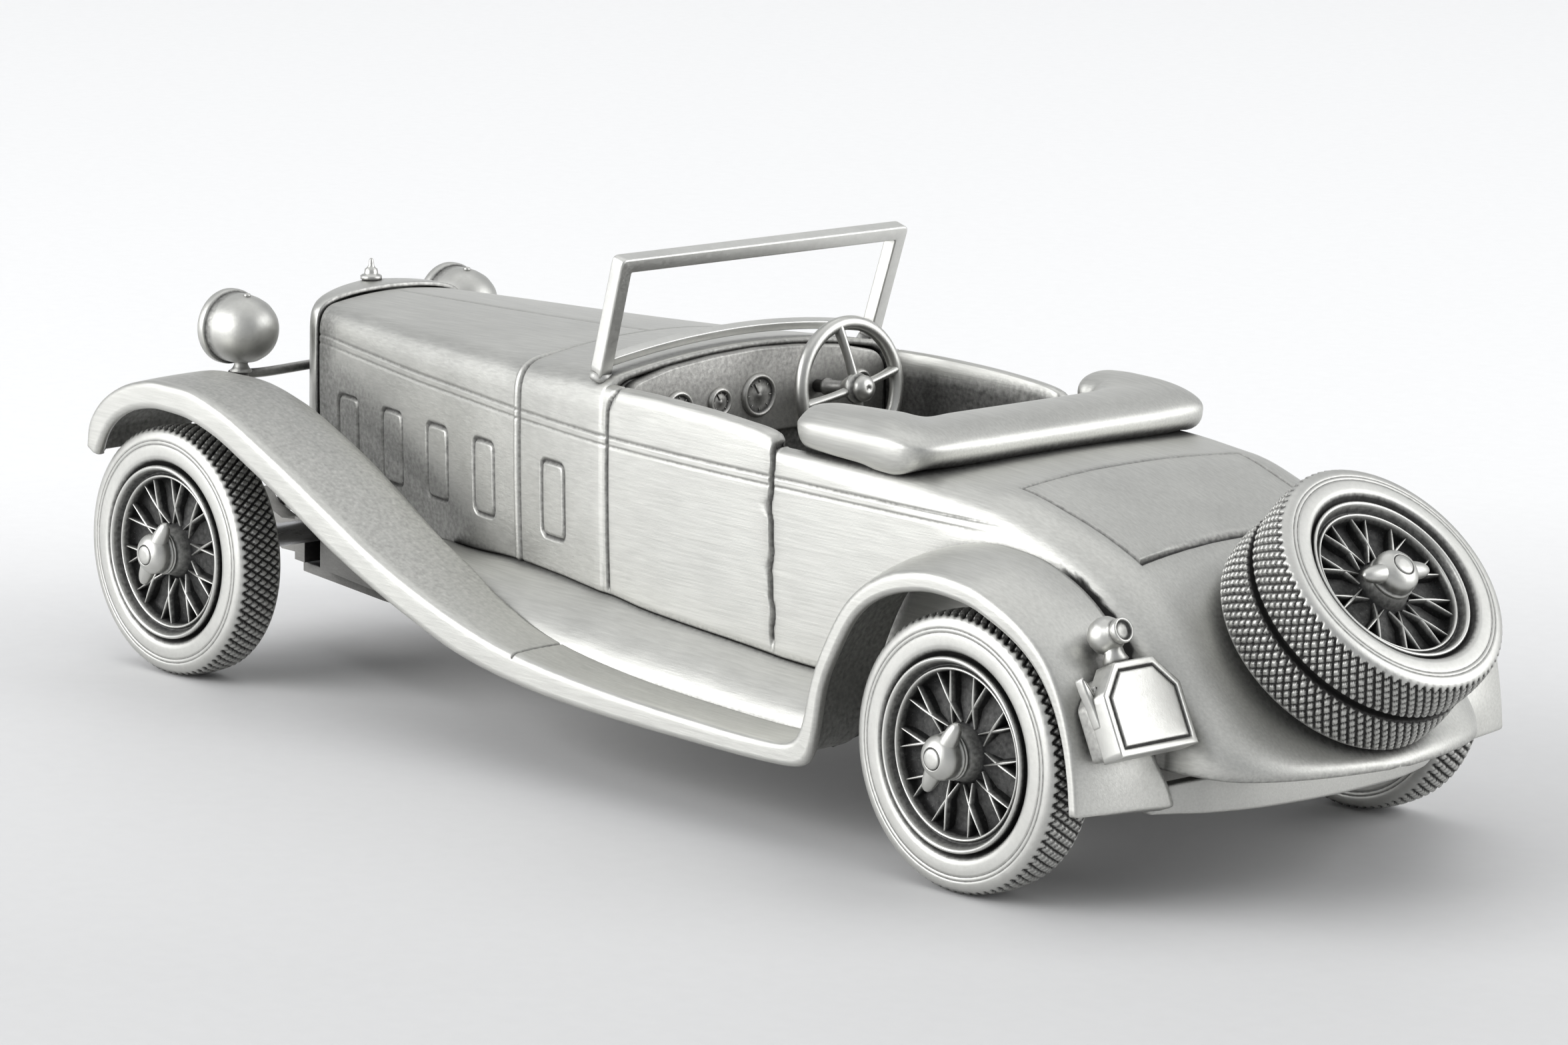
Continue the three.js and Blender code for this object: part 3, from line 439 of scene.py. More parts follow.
    height = math_("ADD", math_("MULTIPLY", n_brush, brushed), math_("MULTIPLY", n_brush2, brushed * 0.6))
    height = math_("ADD", height, math_("MULTIPLY", n_grain, grain))
    height = math_("ADD", height, math_("MULTIPLY", n_pits, grain * 0.5))
    bump = node("ShaderNodeBump")
    bump.inputs["Strength"].default_value = 0.55
    bump.inputs["Distance"].default_value = 0.03 * MM
    L(height, bump.inputs["Height"])
    L(bump.outputs[0], bsdf.inputs["Normal"])
    return m


M_BODY = pewter("pewter_body", base=(0.575, 0.575, 0.548), rough=0.455, streak=(0.22, 6.0, 6.0), grain=0.34, brushed=0.36)
M_WING = pewter("pewter_wings", base=(0.58, 0.58, 0.553), rough=0.45, streak=(0.3, 5.0, 5.0), grain=0.34, brushed=0.34)
M_CHASSIS = pewter("pewter_chassis", base=(0.56, 0.56, 0.535), rough=0.46, patina=1.0, grain=0.34)
M_BRIGHT = pewter("pewter_bright", base=(0.56, 0.56, 0.535), rough=0.39, streak=(2, 2, 2), brushed=0.12, ao=0.9, grain=0.3)
M_TYRE = pewter("pewter_tyres", base=(0.55, 0.55, 0.527), rough=0.45, streak=(2.5, 2.5, 2.5), brushed=0.16, ao=0.7, patina=0.8, grain=0.34)
M_SPOKE = pewter("pewter_wheels", base=(0.60, 0.60, 0.575), dark=(0.016, 0.016, 0.016), rough=0.38, streak=(3, 3, 3), brushed=0.1, ao=1.0, patina=1.0, speckle=0.14)
# A darker copy of the pewter for the chassis and base plates under the car: painted shade.
M_UNDER_SHADED = pewter("pewter_underside_shaded", base=(0.34, 0.335, 0.32), rough=0.5, ao=3.0, patina=1.0, ao_low=0.4, ao_high=0.95, grain=0.4)
# A darker, duller copy of the pewter for the headlamps: painted shade.
M_LAMP_SHADED = pewter("pewter_lamps_shaded", base=(0.50, 0.50, 0.478), rough=0.47, streak=(2, 2, 2), brushed=0.14, ao=1.6, patina=1.0, grain=0.34)
# A lighter copy of the pewter for the windscreen frame: painted light.
M_SCREEN_LIT = pewter("pewter_screen_lightened", base=(0.66, 0.66, 0.635), rough=0.46, streak=(2, 2, 2), brushed=0.14, ao=0.8, grain=0.3)
M_DASH = pewter("pewter_dash", base=(0.56, 0.555, 0.53), rough=0.45, ao=1.6, patina=0.85, grain=0.5, mottle=0.22)
# A darker copy with a long AO reach for the lamp bar, column, seat and spare carrier: painted shade.
M_DARK_SHADED = pewter("pewter_cockpit_shaded", base=(0.50, 0.495, 0.475), rough=0.42, ao=4.0, patina=1.0, ao_low=0.35, ao_high=0.95)
M_STEEL = pewter("turned_steel", base=(0.55, 0.55, 0.56), rough=0.3, streak=(6, 0.3, 6), patina=0.6)

# ------------------------------------------------------------------ body tables
BODY = np.array([
    [80.0, 6.95, 26.35, 0.75, 1.5, 1.7, 11.4],
    [73.0, 8.2, 26.5, 0.85, 1.6, 1.8, 11.4],
    [66.0, 9.5, 26.65, 1.0, 1.7, 1.9, 11.5],
    [59.0, 10.75, 26.85, 1.15, 1.8, 2.0, 11.7],
    [52.0, 12.0, 27.1, 1.25, 1.9, 2.1, 12.1],
    [47.0, 12.8, 27.45, 1.35, 1.9, 2.2, 12.0],
    [43.4, 13.3, 27.65, 1.4, 1.9, 2.2, 11.8],
    [41.65, 13.5, 27.7, 1.4, 1.8, 2.1, 11.7],
    [41.35, 13.52, 26.35, 0.35, 0.9, 0.9, 11.7],
    [37.0, 13.8, 26.35, 0.3, 0.9, 0.9, 11.3],
    [32.0, 14.0, 26.25, 0.3, 0.9, 0.9, 11.0],
    [27.0, 14.05, 25.95, 0.3, 0.9, 0.9, 10.7],
    [24.4, 14.05, 25.6, 0.3, 1.0, 1.1, 10.5],
    [23.3, 14.05, 24.75, 0.35, 0.9, 1.0, 10.4],
    [17.0, 14.0, 24.75, 0.4, 1.3, 1.5, 10.2],
    [11.0, 13.9, 24.8, 0.5, 2.2, 2.6, 10.1],
    [5.0, 13.8, 24.6, 0.65, 3.2, 3.7, 10.0],
    [0.0, 13.65, 23.4, 0.7, 3.4, 4.1, 10.0],
    [-5.0, 13.3, 21.45, 0.75, 3.5, 4.4, 10.0],
    [-8.8, 12.95, 18.95, 1.0, 3.7, 4.6, 9.95],
    [-10.8, 12.8, 17.2, 1.3, 3.9, 4.4, 9.0],
    [-13.0, 12.55, 15.0, 1.5, 4.0, 3.5, 8.95],
    [-14.8, 12.0, 13.25, 1.45, 3.8, 2.3, 8.9],
    [-16.2, 10.95, 11.95, 1.25, 3.6, 1.4, 8.85],
    [-17.4, 9.0, 10.9, 0.9, 3.2, 0.9, 8.85],
    [-18.4, 6.3, 10.15, 0.5, 2.6, 0.6, 8.85],
    [-19.2, 2.9, 9.6, 0.25, 1.5, 0.35, 8.87],
    [-19.42, 1.3, 9.35, 0.12, 0.7, 0.2, 8.87],
])[::-1]
FRONT = BODY[BODY[:, 0] >= 41.6]
MIDDLE = BODY[(BODY[:, 0] >= 17.0) & (BODY[:, 0] <= 41.4)]
TAIL = BODY[BODY[:, 0] <= 17.0]


def row_at(x, zone):
    """[half width, top, fall, corner width, corner height, bottom] at x."""
    t = {"front": FRONT, "middle": MIDDLE, "tail": TAIL}[zone]
    w = float(pchip(BODY[:, 0], BODY[:, 1], x))
    zb = float(pchip(BODY[:, 0], BODY[:, 6], x))
    zt, c, ry, rz = (float(pchip(t[:, 0], t[:, k], x)) for k in (2, 3, 4, 5))
    return w, zt, c, ry, rz, zb


SKIN = 1.2
DOOR_FRONT, DOOR_REAR = 40.5, 23.9
BONNET_END = 51.7
LOUVRES = [(46.0, 48.8), (55.2, 57.9), (61.6, 64.4), (68.0, 70.8), (74.4, 77.2)]
LOUVRE_Z = (14.5, 19.8)


def belt_top(x):
    return np.interp(x, [-20, 3, 24, 41, 52, 66, 79], [22.35, 22.4, 22.5, 22.6, 22.75, 23.1, 23.7])


def lid_y(x):
    return 9.3 + 0.075 * (x + 5.35)


def section(x, zone):
    """The half section at x as a dense polyline (y, z), bottom edge first, with its key places by arc length."""
    w, zt, c, ry, rz, zb = row_at(x, zone)
    ze = zt - c
    zc = max(ze - rz, zb + 0.15)
    yc = max(w - ry, 0.2 * w)
    ztat = lambda y: zt - c * (y / w) ** 2
    belt = min(22.4, zc)
    z = np.linspace(zb, zc, 120)
    y = np.where(z < belt, w - 0.45 * ((belt - z) / 12) ** 2, w - 0.12 * ((z - belt) / 4) ** 2)
    s0 = np.array([y[-1], zc])
    s2 = np.array([yc, ztat(yc)])
    s1 = np.array([s0[0], min(ze + 0.08, s2[1])])
    t = np.linspace(0, 1, 60)[1:, None]
    corner = (1 - t) ** 2 * s0 + 2 * t * (1 - t) * s1 + t * t * s2
    # The bottom edge is turned under.
    lip = np.array([[w - 1.2, zb + 0.05], [y[0] - 0.35, zb], [y[0] - 0.1, zb + 0.04]])
    side = np.stack([y, z], 1)
    side = side[side[:, 1] > zb + 0.16]
    pts = [lip, side, corner]
    if zone == "middle":
        yi = w - SKIN
        e = s2.copy()
        r = 0.42
        flat = np.array([[e[0] + (yi + r - e[0]) * k, ztat(e[0] + (yi + r - e[0]) * k)] for k in np.linspace(0, 1, 12)[1:]]) if e[0] > yi + r else np.empty((0, 2))
        last = flat[-1] if len(flat) else e
        q = np.linspace(0, pi / 2, 14)[1:]
        inner = np.stack([last[0] - r * np.sin(q), last[1] - r * (1 - np.cos(q))], 1)
        down = np.stack([np.full(40, inner[-1, 0]), np.linspace(inner[-1, 1], 10.6, 41)[1:]], 1)
        pts += [flat, inner, down]
    else:
        yy = np.linspace(yc, 0, 90)[1:]
        pts.append(np.stack([yy, ztat(yy)], 1))
    P = np.vstack(pts)
    s = np.concatenate([[0], np.cumsum(np.linalg.norm(np.diff(P, axis=0), axis=1))])
    n_side = len(lip) + len(side)
    n_corner = n_side + 59
    # Rising stretch for places given by height.
    rise = slice(len(lip), n_corner)
    at_z = lambda zz: float(np.interp(zz, P[rise, 1], s[rise]))
    mid = n_side + 30
    b = float(smooth((x + 4) / 8))
    zk5 = P[mid, 1]
    keys_z = []
    bt = float(belt_top(x))
    for fixed, share in ((LOUVRE_Z[0], 0.24), (LOUVRE_Z[1], 0.5), (bt - 0.6, 0.70), (bt, 0.76)):
        v = b * fixed + (1 - b) * (zb + share * (zk5 - zb))
        keys_z.append(v)
    keys_z = [min(v, zk5 - 0.12 * (4 - i)) for i, v in enumerate(keys_z)]
    K = [s[3]] + [at_z(v) for v in keys_z] + [s[mid]]
    if zone == "middle":
        K.append(s[n_corner - 1 + (len(pts[3]) if len(pts) > 3 else 0)])
    else:
        yl = float(lid_y(x)) if zone == "tail" else 0.7 * yc
        k = float(smooth((x + 11) / 4)) if zone == "tail" else 1.0
        yl = k * yl + (1 - k) * 0.62 * w
        yl = min(yl, P[mid, 0] - 0.3 * (P[mid, 0] - 0) * 0.2)
        top = slice(mid, len(P))
        K.append(float(np.interp(-yl, -P[top, 0], s[top])))
    K.append(s[-1])
    return P, s, K


def spread(a, b, n, lo, hi, cl=0.34):
    """n places from a to b (b left out), crowded within cl of an end where lo or hi is set."""
    L = b - a
    k = min(cl, L * 0.3)
    if lo and hi:
        p = np.concatenate([np.linspace(0, k, 5)[:-1], np.linspace(k, L - k, n - 7)[:-1], np.linspace(L - k, L, 5)[:-1]])
    elif lo:
        p = np.concatenate([np.linspace(0, k, 5)[:-1], np.linspace(k, L, n - 3)[:-1]])
    elif hi:
        p = np.concatenate([np.linspace(0, L - k, n - 3)[:-1], np.linspace(L - k, L, 5)[:-1]])
    else:
        p = np.linspace(0, L, n + 1)[:-1]
    return a + p


SEGS = [  # samples between key places, and whether to crowd at either end
    (12, False, True),
    (18, True, True),
    (14, True, True),
    (9, False, False),
    (14, True, False),
    (14, False, True),
    (22, True, False),
]


def ring(x, zone):
    P, s, K = section(x, zone)
    at = [np.array([0.0, s[1], s[2]])]
    for (n, lo, hi), a, b in zip(SEGS, K[:-1], K[1:]):
        at.append(spread(a, b, n, lo, hi))
    at.append(np.array([K[-1]]))
    at = np.concatenate(at)
    return np.stack([np.full(len(at), x), np.interp(at, s, P[:, 0]), np.interp(at, s, P[:, 1])], 1)


def stations(lo, hi, features, coarse, fine=0.085, reach=0.4):
    xs = [lo, hi]
    for f in features:
        for k in np.arange(-reach, reach + 1e-6, fine):
            if lo < f + k < hi:
                xs.append(f + k)
    xs = sorted(xs)
    out = [xs[0]]
    for a, b in zip(xs[:-1], xs[1:]):
        if b - a < 0.02:
            continue
        n = max(1, int(math.ceil((b - a) / coarse)))
        out += [a + (b - a) * (i + 1) / n for i in range(n)]
    return np.array(out)


def rect_line(x, z, x0, x1, z0, z1, r):
    cx, cz, hx, hz = (x0 + x1) / 2, (z0 + z1) / 2, (x1 - x0) / 2 - r, (z1 - z0) / 2 - r
    qx, qz = np.abs(x - cx) - hx, np.abs(z - cz) - hz
    d = np.hypot(np.maximum(qx, 0), np.maximum(qz, 0)) + np.minimum(np.maximum(qx, qz), 0) - r
    return np.abs(d)


# Height of the rear wing's inner edge where it closes on the tail, by x.
SLOT_X = [-10.45, -10.05, -9.3, -8.1, -6.3, -3.8, -0.81, 2.1]
SLOT_Z = [9.4, 11.75, 14.3, 16.65, 18.55, 20.15, 21.2, 21.45]
SLOT_END = -1.4


def engraving(P):
    """How far each point of the skin is pushed in (mm), and how dark it is."""
    x, y, z = P[..., 0], np.abs(P[..., 1]), P[..., 2]
    depth = np.zeros_like(x)
    cav = np.zeros_like(x)

    def line(d, half, deep, on=1.0, dark=1.0, halo=0.12):
        nonlocal depth, cav
        g = np.clip(1 - (d / half) ** 2, 0, 1) * on
        depth = np.maximum(depth, deep * g)
        cav = np.maximum(cav, dark * np.clip(1.25 - d / half, 0, 1) * on)
        cav = np.maximum(cav, halo * np.exp(-((d / (half * 2.6)) ** 2)) * on)

    on_side = (y > 5.5) & (z < 25.2)
    for i, (a, b) in enumerate(LOUVRES):
        line(np.where(on_side, rect_line(x, z, a, b, *LOUVRE_Z, 0.55), 9), 0.19, 0.20, dark=0.95)
    # Belt moulding.
    bt = belt_top(x)
    fade = smooth((x - 1.5) / 5)
    up = np.where(x > 30, 1.0, 1.0)
    line(np.where(z < 24.6, np.abs(z - bt), 9), 0.12, 0.08, fade, 0.5, 0.05)
    line(np.where(z < 24.6, np.abs(z - (bt - 0.6)), 9), 0.11, 0.06, fade, 0.38, 0.04)
    # Door and bonnet shut lines.
    outside = y > np.interp(x, [41.4, 41.6], [12.2, 0.0]) if False else (y > 0)
    dr = x - (DOOR_REAR - 0.75 * smooth((z - 23.6) / 2.2) + 0.10 * np.sin(z * 1.3) + 0.06 * np.sin(z * 3.1 + 1))
    line(np.abs(dr), 0.25, 0.34, smooth((z - 10.9) / 0.6) * (y > 12.0), 1.0, 0.2)
    df = x - (DOOR_FRONT + 0.35 - 1.0 * smooth((z - 24.2) / 2.4))
    line(np.abs(df), 0.19, 0.24, smooth((z - 11.7) / 0.5) * (y > 12.0), 1.0, 0.15)
    be = x - BONNET_END
    line(np.abs(be), 0.17, 0.2, smooth((z - 11.9) / 0.4) * (1 - 0.65 * smooth((z - 26.0) / 0.6)), 0.95, 0.12)
    raised = 0.12 * np.clip(1 - ((be - 0.42) / 0.26) ** 2, 0, 1) * smooth((z - 11.9) / 0.4) * (1 - smooth((z - 26.3) / 0.5))
    # Boot lid.
    xf = 5.15 - 0.5 * (y / 10.0) ** 2
    xr = -4.95 - 0.4 * (y / 9.3) ** 2
    d = np.maximum(np.maximum(x - xf, xr - x), y - lid_y(x))
    top = (x < 8) & (x > -8) & (z > 19.5)
    line(np.where(top, np.abs(d), 9), 0.17, 0.16, 1.0, 0.8, 0.12)
    line(np.where(top & (y < lid_y(x) + 0.15), np.abs(x - xr), 9), 0.24, 0.26, 1.0, 1.0, 0.18)
    # Hinge line along the top of the bonnet.
    line(np.where((x > BONNET_END) & (x < 79.5), y, 9), 0.12, 0.06, 1.0, 0.3, 0.03)
    # Painted shade in the slot between the tail and the wings.
    zi = np.interp(x, SLOT_X, SLOT_Z)
    slot = smooth((zi - 0.20 - z) / 0.08) * smooth((SLOT_END - x) / 1.6) * (x > -10.7)
    cav = np.maximum(cav, slot)
    # Painted shade low on the bonnet, where the wing sweeps past, and behind the radiator.
    sweep = np.interp(x, [46.0, 52.5, 57.0, 61.4, 65.8, 70.3, 74.9, 79.0], [9.2, 10.8, 12.5, 14.5, 16.6, 18.6, 20.4, 21.3])
    cav = np.maximum(cav, 0.46 * smooth((sweep + 3.0 - z) / 3.2) * smooth((x - 50.0) / 12.0))
    cav = np.maximum(cav, 0.55 * smooth((x - 76.2) / 3.0) * smooth((26.2 - z) / 1.5))
    # Painted shade on the cockpit's walls.
    wall = np.interp(x, BODY[:, 0], BODY[:, 1]) - SKIN + 0.12
    cav = np.maximum(cav, 0.82 * smooth((wall - y) / 0.1) * smooth((25.3 - z) / 0.8) * (x > 17.0) * (x < 41.34))
    # Painted shade towards the bottom edges.
    low = np.interp(x, BODY[:, 0], BODY[:, 6])
    cav = np.maximum(cav, 0.35 * (1 - smooth((z - low) / 0.7)))
    return depth - raised, np.clip(cav, 0, 1)


def skin_normals(P):
    du = np.gradient(P, axis=0)
    dv = np.gradient(P, axis=1)
    n = np.cross(du, dv)
    n /= np.maximum(np.linalg.norm(n, axis=-1, keepdims=True), 1e-9)
    return n


def body_skin():
    part = Part()
    zones = (
        ("tail", -19.42, 17.0, [-5.25, 4.8, -0.2], 0.42),
        ("middle", 17.0, 41.35, [DOOR_REAR, DOOR_REAR - 0.6, DOOR_FRONT, DOOR_FRONT + 0.35, 39.8], 0.45),
        ("front", 41.35, 80.0, [BONNET_END, BONNET_END + 0.42] + [q for ab in LOUVRES for q in ab], 0.5),
    )
    for zone, lo, hi, feats, coarse in zones:
        xs = stations(lo, hi, feats, coarse)
        half = np.array([ring(x, zone) for x in xs])
        n = skin_normals(half)
        if n[len(xs) // 2, 20, 1] < 0:
            n = -n
        d, cav = engraving(half)
        half = half - n * d[..., None]
        if zone != "middle":
            half[:, -1, 1] = 0.0
            other = half[:, :-1][:, ::-1] * np.array([1, -1, 1])
            full = np.concatenate([half, other], 1)
            cf = np.concatenate([cav, cav[:, :-1][:, ::-1]], 1)
            if zone == "tail":
                tip = full[0].mean(0) * np.array([1, 0, 1]) - np.array([0.06, 0, 0])
                full = np.concatenate([np.broadcast_to(tip, (1, full.shape[1], 3)), full], 0)
                cf = np.concatenate([cf[:1], cf], 0)
            if zone == "front":
                # The cowl's rear edge is rolled under.
                back = full[0].copy()
                c = np.array([back[0, 0], 0, 20.0])
                e1 = back.copy()
                e1[:, 0] -= 0.16
                e1[:, 1:] = c[1:] + (back[:, 1:] - c[1:]) * 0.985
                e2 = back.copy()
                e2[:, 0] -= 0.12
                e2[:, 1:] = c[1:] + (back[:, 1:] - c[1:]) * 0.95
                e3 = e2.copy()
                e3[:, 0] += 0.9
                full = np.concatenate([e3[None], e2[None], e1[None], full], 0)
                cf = np.concatenate([np.full((3, full.shape[1]), 0.5), cf], 0)
            part.grid(full, cf, flip=False)
        else:
            part.grid(half, cav)
            part.grid(half * np.array([1, -1, 1]), cav, flip=True)
    return part


part = body_skin()
# Bulkheads behind the seat and at the scuttle.
for x0, x1, ytop, ztop in ((16.1, 17.3, 12.5, 24.25), (41.45, 42.2, 12.2, 26.2)):
    out = [(-ytop, 10.8), (ytop, 10.8), (ytop, ztop - 0.6), (ytop - 1.2, ztop), (-ytop + 1.2, ztop), (-ytop, ztop - 0.6)]
    part.prism(filleted(out, 0.3, 3), ((x0, 0, 0), (0, -1, 0), (0, 0, 1), (-1, 0, 0)), x1 - x0, 0.12, cav=0.7)
# Floor of the cockpit.
part.prism([(16.5, -12.6), (41.6, -12.4), (41.6, 12.4), (16.5, 12.6)], ((0, 0, 10.9), (1, 0, 0), (0, 1, 0), (0, 0, 1)), 0.5, 0.1, cav=0.9)
body = part.make("body_casting", M_BODY, "body", "body_pewter", ["body_shell"], recalc=False, merge=2e-6)

# ------------------------------------------------------------------ wings
WING = np.array([
    [89.97, 15.57, 88.82, 14.97, 13.6, 0.1, 0.3],
    [89.87, 16.87, 88.22, 16.17, 12.6, 0.15, 0.8],
    [88.92, 18.47, 87.42, 17.22, 11.9, 0.2, 1.3],
    [87.12, 19.87, 86.02, 18.27, 11.4, 0.2, 1.7],
    [84.72, 20.87, 84.12, 19.02, 11.1, 0.2, 2],
    [81.92, 21.37, 81.72, 19.37, 10.9, 0.2, 2.1],
    [78.82, 21.32, 79.02, 19.27, 10.9, 0.25, 2.1],
    [74.91, 20.47, 75.61, 18.52, 11.1, 0.4, 2],
    [70.3, 18.62, 71.3, 16.72, 11.5, 0.6, 1.8],
    [65.79, 16.57, 66.79, 14.62, 12.2, 0.8, 1.5],
    [61.39, 14.47, 62.29, 12.37, 13.1, 0.85, 1.1],
    [56.98, 12.47, 57.68, 10.42, 14.1, 0.85, 0.7],
    [52.47, 10.82, 52.97, 8.72, 15.1, 0.75, 0.3],
    [47.97, 9.47, 48.27, 7.27, 15.9, 0.6, 0.1],
    [43.46, 8.47, 43.66, 6.42, 16.3, 0.4, 0],
    [37.55, 7.77, 37.55, 5.82, 16.3, 0.22, 0],
    [31.44, 7.32, 31.44, 5.57, 16.3, 0.15, 0],
    [25.23, 7.07, 25.23, 5.47, 16.3, 0.12, 0],
    [19.22, 6.92, 19.22, 5.42, 16.3, 0.12, 0],
    [15.81, 6.97, 14.71, 5.57, 16.2, 0.15, 0],
    [14.21, 7.57, 13.11, 6.07, 15.6, 0.25, 0],
    [13.61, 8.87, 12.46, 8.07, 14.8, 0.45, 0],
    [12.91, 11.47, 11.91, 11.07, 14.25, 0.75, 0],
    [11.46, 14.67, 10.51, 14.07, 14.2, 1, 0],
    [9.81, 17.17, 9.01, 16.37, 14.2, 1.1, 0],
    [7.8, 18.82, 7.3, 17.72, 14.2, 1.1, 0],
    [5, 19.97, 4.7, 18.72, 14.2, 1.1, 0],
    [2.09, 20.37, 1.99, 19.12, 14.2, 1.1, 0],
    [-0.81, 20.17, -0.71, 18.92, 14.2, 1.1, 0],
    [-3.8, 19.27, -3.3, 18.12, 14.2, 1.1, 0],
    [-6.3, 17.8, -5.6, 16.85, 14.2, 1.1, 0],
    [-8.1, 15.9, -7.35, 15.15, 14.2, 1.1, 0],
    [-9.3, 13.45, -8.6, 13.05, 14.2, 1.1, 0],
    [-10.05, 10.95, -9.4, 10.7, 14.1, 1.1, 0],
    [-10.45, 8.7, -9.8, 8.5, 13.1, 1.05, 0],
    [-10.65, 7.1, -9.95, 6.85, 11.9, 0.9, 0],
])
W_OUT, W_T, W_CREST = 20.6, 1.05, 15.0


def wing_ring(row):
    xo, zo, xl, zl, yin, h, fall = row
    d = np.array([xl - xo, zl - zo])
    T = np.linalg.norm(d)
    d /= T
    yc = max(W_CREST, yin)

    def top(y):
        y = np.asarray(y, float)
        return np.where(
            y >= yc,
            -h * (1 - np.clip((y - yc) / (W_OUT - yc), 0, 1) ** 2),
            -h + fall * (np.clip(yc - y, 0, None) / max(0.3, yc - yin)) ** 2,
        )

    t = min(W_T, 0.62 * T)
    rc, rl = min(0.42, 0.3 * T), min(0.3, 0.25 * T)
    ys = np.linspace(yin + 0.12, W_OUT - rc, 22)
    drop = 0.3 + 0.9 * float(smooth((1.5 - xo) / 3.0)) * float(smooth((xo + 10.4) / 1.0))
    pts = [np.array([[yin - 0.02, float(top(yin)) + drop]]), np.stack([ys, top(ys)], 1)]
    a, b, c = np.array([ys[-1], float(top(ys[-1]))]), np.array([W_OUT, 0.0]), np.array([W_OUT, rc * 1.1])
    k = np.linspace(0, 1, 7)[1:, None]
    pts.append((1 - k) ** 2 * a + 2 * k * (1 - k) * b + k * k * c)
    pts.append(np.stack([np.full(5, W_OUT), np.linspace(rc * 1.1, T - rl, 6)[1:]], 1))
    a, b, c = np.array([W_OUT, T - rl]), np.array([W_OUT - 0.12, T + 0.02]), np.array([W_OUT - 0.45, T])
    pts.append(((1 - k) ** 2 * a + 2 * k * (1 - k) * b + k * k * c)[1:])
    a, b, c = np.array([W_OUT - 0.45, T]), np.array([W_OUT - 0.85, T]), np.array([W_OUT - 0.95, float(top(W_OUT - 0.95)) + t + 0.25])
    pts.append(((1 - k) ** 2 * a + 2 * k * (1 - k) * b + k * k * c))
    ys = np.linspace(W_OUT - 1.3, yin + 0.12, 13)
    pts.append(np.stack([ys, top(ys) + t], 1))
    pts.append(np.array([[yin, float(top(yin)) + t - 0.15]]))
    p = np.vstack(pts)
    e = min(1.0, max(0.0, (-3 - xo) / 7.5))
    k_in = 1 - 0.6 * e * e * (3 - 2 * e) / (W_OUT - 15)
    p[:, 0] = np.where(p[:, 0] < 15, p[:, 0], 15 + (p[:, 0] - 15) * k_in)
    # Painted shade on the underside and along the inner edge, darkest where the wing closes on the tail; none on the
    # outside.
    n_out = 1 + 22 + 6 + 5 + 5
    cav = np.zeros(len(p))
    cav[n_out + 3 :] = 0.55
    tail = float(smooth((0.5 - xo) / 3.0)) * float(smooth((xo + 10.75) / 0.9))
    cav[0] = 0.7 + 0.3 * tail
    cav[1] = 0.35 + 0.25 * tail
    return np.stack([xo + d[0] * p[:, 1], p[:, 0], zo + d[1] * p[:, 1]], 1), cav


def wing(s):
    u = np.concatenate([[0], np.cumsum(np.hypot(np.diff(WING[:, 0]), np.diff(WING[:, 1])))])
    xs = np.interp
    fine = []
    at = [0.0]
    while at[-1] < u[-1]:
        x_here = float(np.interp(at[-1], u, WING[:, 0]))
        step = 0.07 if 41.2 < x_here < 42.9 else 0.42
        at.append(at[-1] + step)
    at[-1] = u[-1]
    cols = [pchip(u, WING[:, k], at) for k in range(7)]
    # Soften the corner-cutting of the cubic with a light running average.
    rows = np.stack(cols, 1)
    ker = np.array([1, 2, 3, 2, 1]) / 9
    pad = np.vstack([rows[:1], rows[:1], rows, rows[-1:], rows[-1:]])
    rows = np.stack([np.convolve(pad[:, k], ker, "valid") for k in range(7)], 1)
    rings, cavs = zip(*[wing_ring(r) for r in rows])
    P, C = np.array(rings), np.array(cavs)
    # Painted shade over the tops of the wings, short of the outer edge and stronger towards the front.
    sweep = 0.24 * smooth((P[..., 0] - 17) / 6) * smooth((86 - P[..., 0]) / 6) * (np.arange(P.shape[1])[None, :] < 24) * smooth((20.3 - P[..., 1]) / 0.5)
    C = np.maximum(C, sweep * (0.5 + 0.5 * smooth((P[..., 0] - 44) / 10)))
    # The board's joint line.
    dline = np.abs(P[..., 0] - np.interp(P[..., 1], [16.2, 20.6], [41.75, 42.3]))
    on = (P[..., 1] > 16.25) & (np.arange(P.shape[1])[None, :] < 27)
    P[..., 2] -= 0.14 * np.where(on, np.clip(1 - (dline / 0.15) ** 2, 0, 1), 0)
    C = np.maximum(C, 0.85 * np.where(on, np.clip(1.2 - dline / 0.14, 0, 1), 0))
    # The tail's bottom edge drops towards the centre to meet the valance.
    low = smooth((-10.2 - P[..., 0]) / 0.5) * smooth((8.6 - P[..., 2]) / 1.6) * (P[..., 0] < -9)
    P[..., 2] -= (0.12 + 0.11 * np.clip(20.2 - P[..., 1], 0, 8)) * low
    # Rounded ends.
    for end in (0, -1):
        c = P[end].mean(0)
        t = c - P[1 if end == 0 else -2].mean(0)
        t /= np.linalg.norm(t)
        e1 = c + (P[end] - c) * 0.985 + t * 0.12
        e2 = c + (P[end] - c) * 0.94 + t * 0.17
        if end == 0:
            P, C = np.concatenate([e2[None], e1[None], P]), np.concatenate([C[:1], C[:1], C])
        else:
            P, C = np.concatenate([P, e1[None], e2[None]]), np.concatenate([C, C[-1:], C[-1:]])
    P = P * np.array([1, s, 1])
    return Part().grid(P, C, close_v=True, cap0=True, cap1=True)


wing(1).make("wing_casting_left", M_WING, "body", "wings_pewter", ["wing_left"])
wing(-1).make("wing_casting_right", M_WING, "body", "wings_pewter", ["wing_right"])


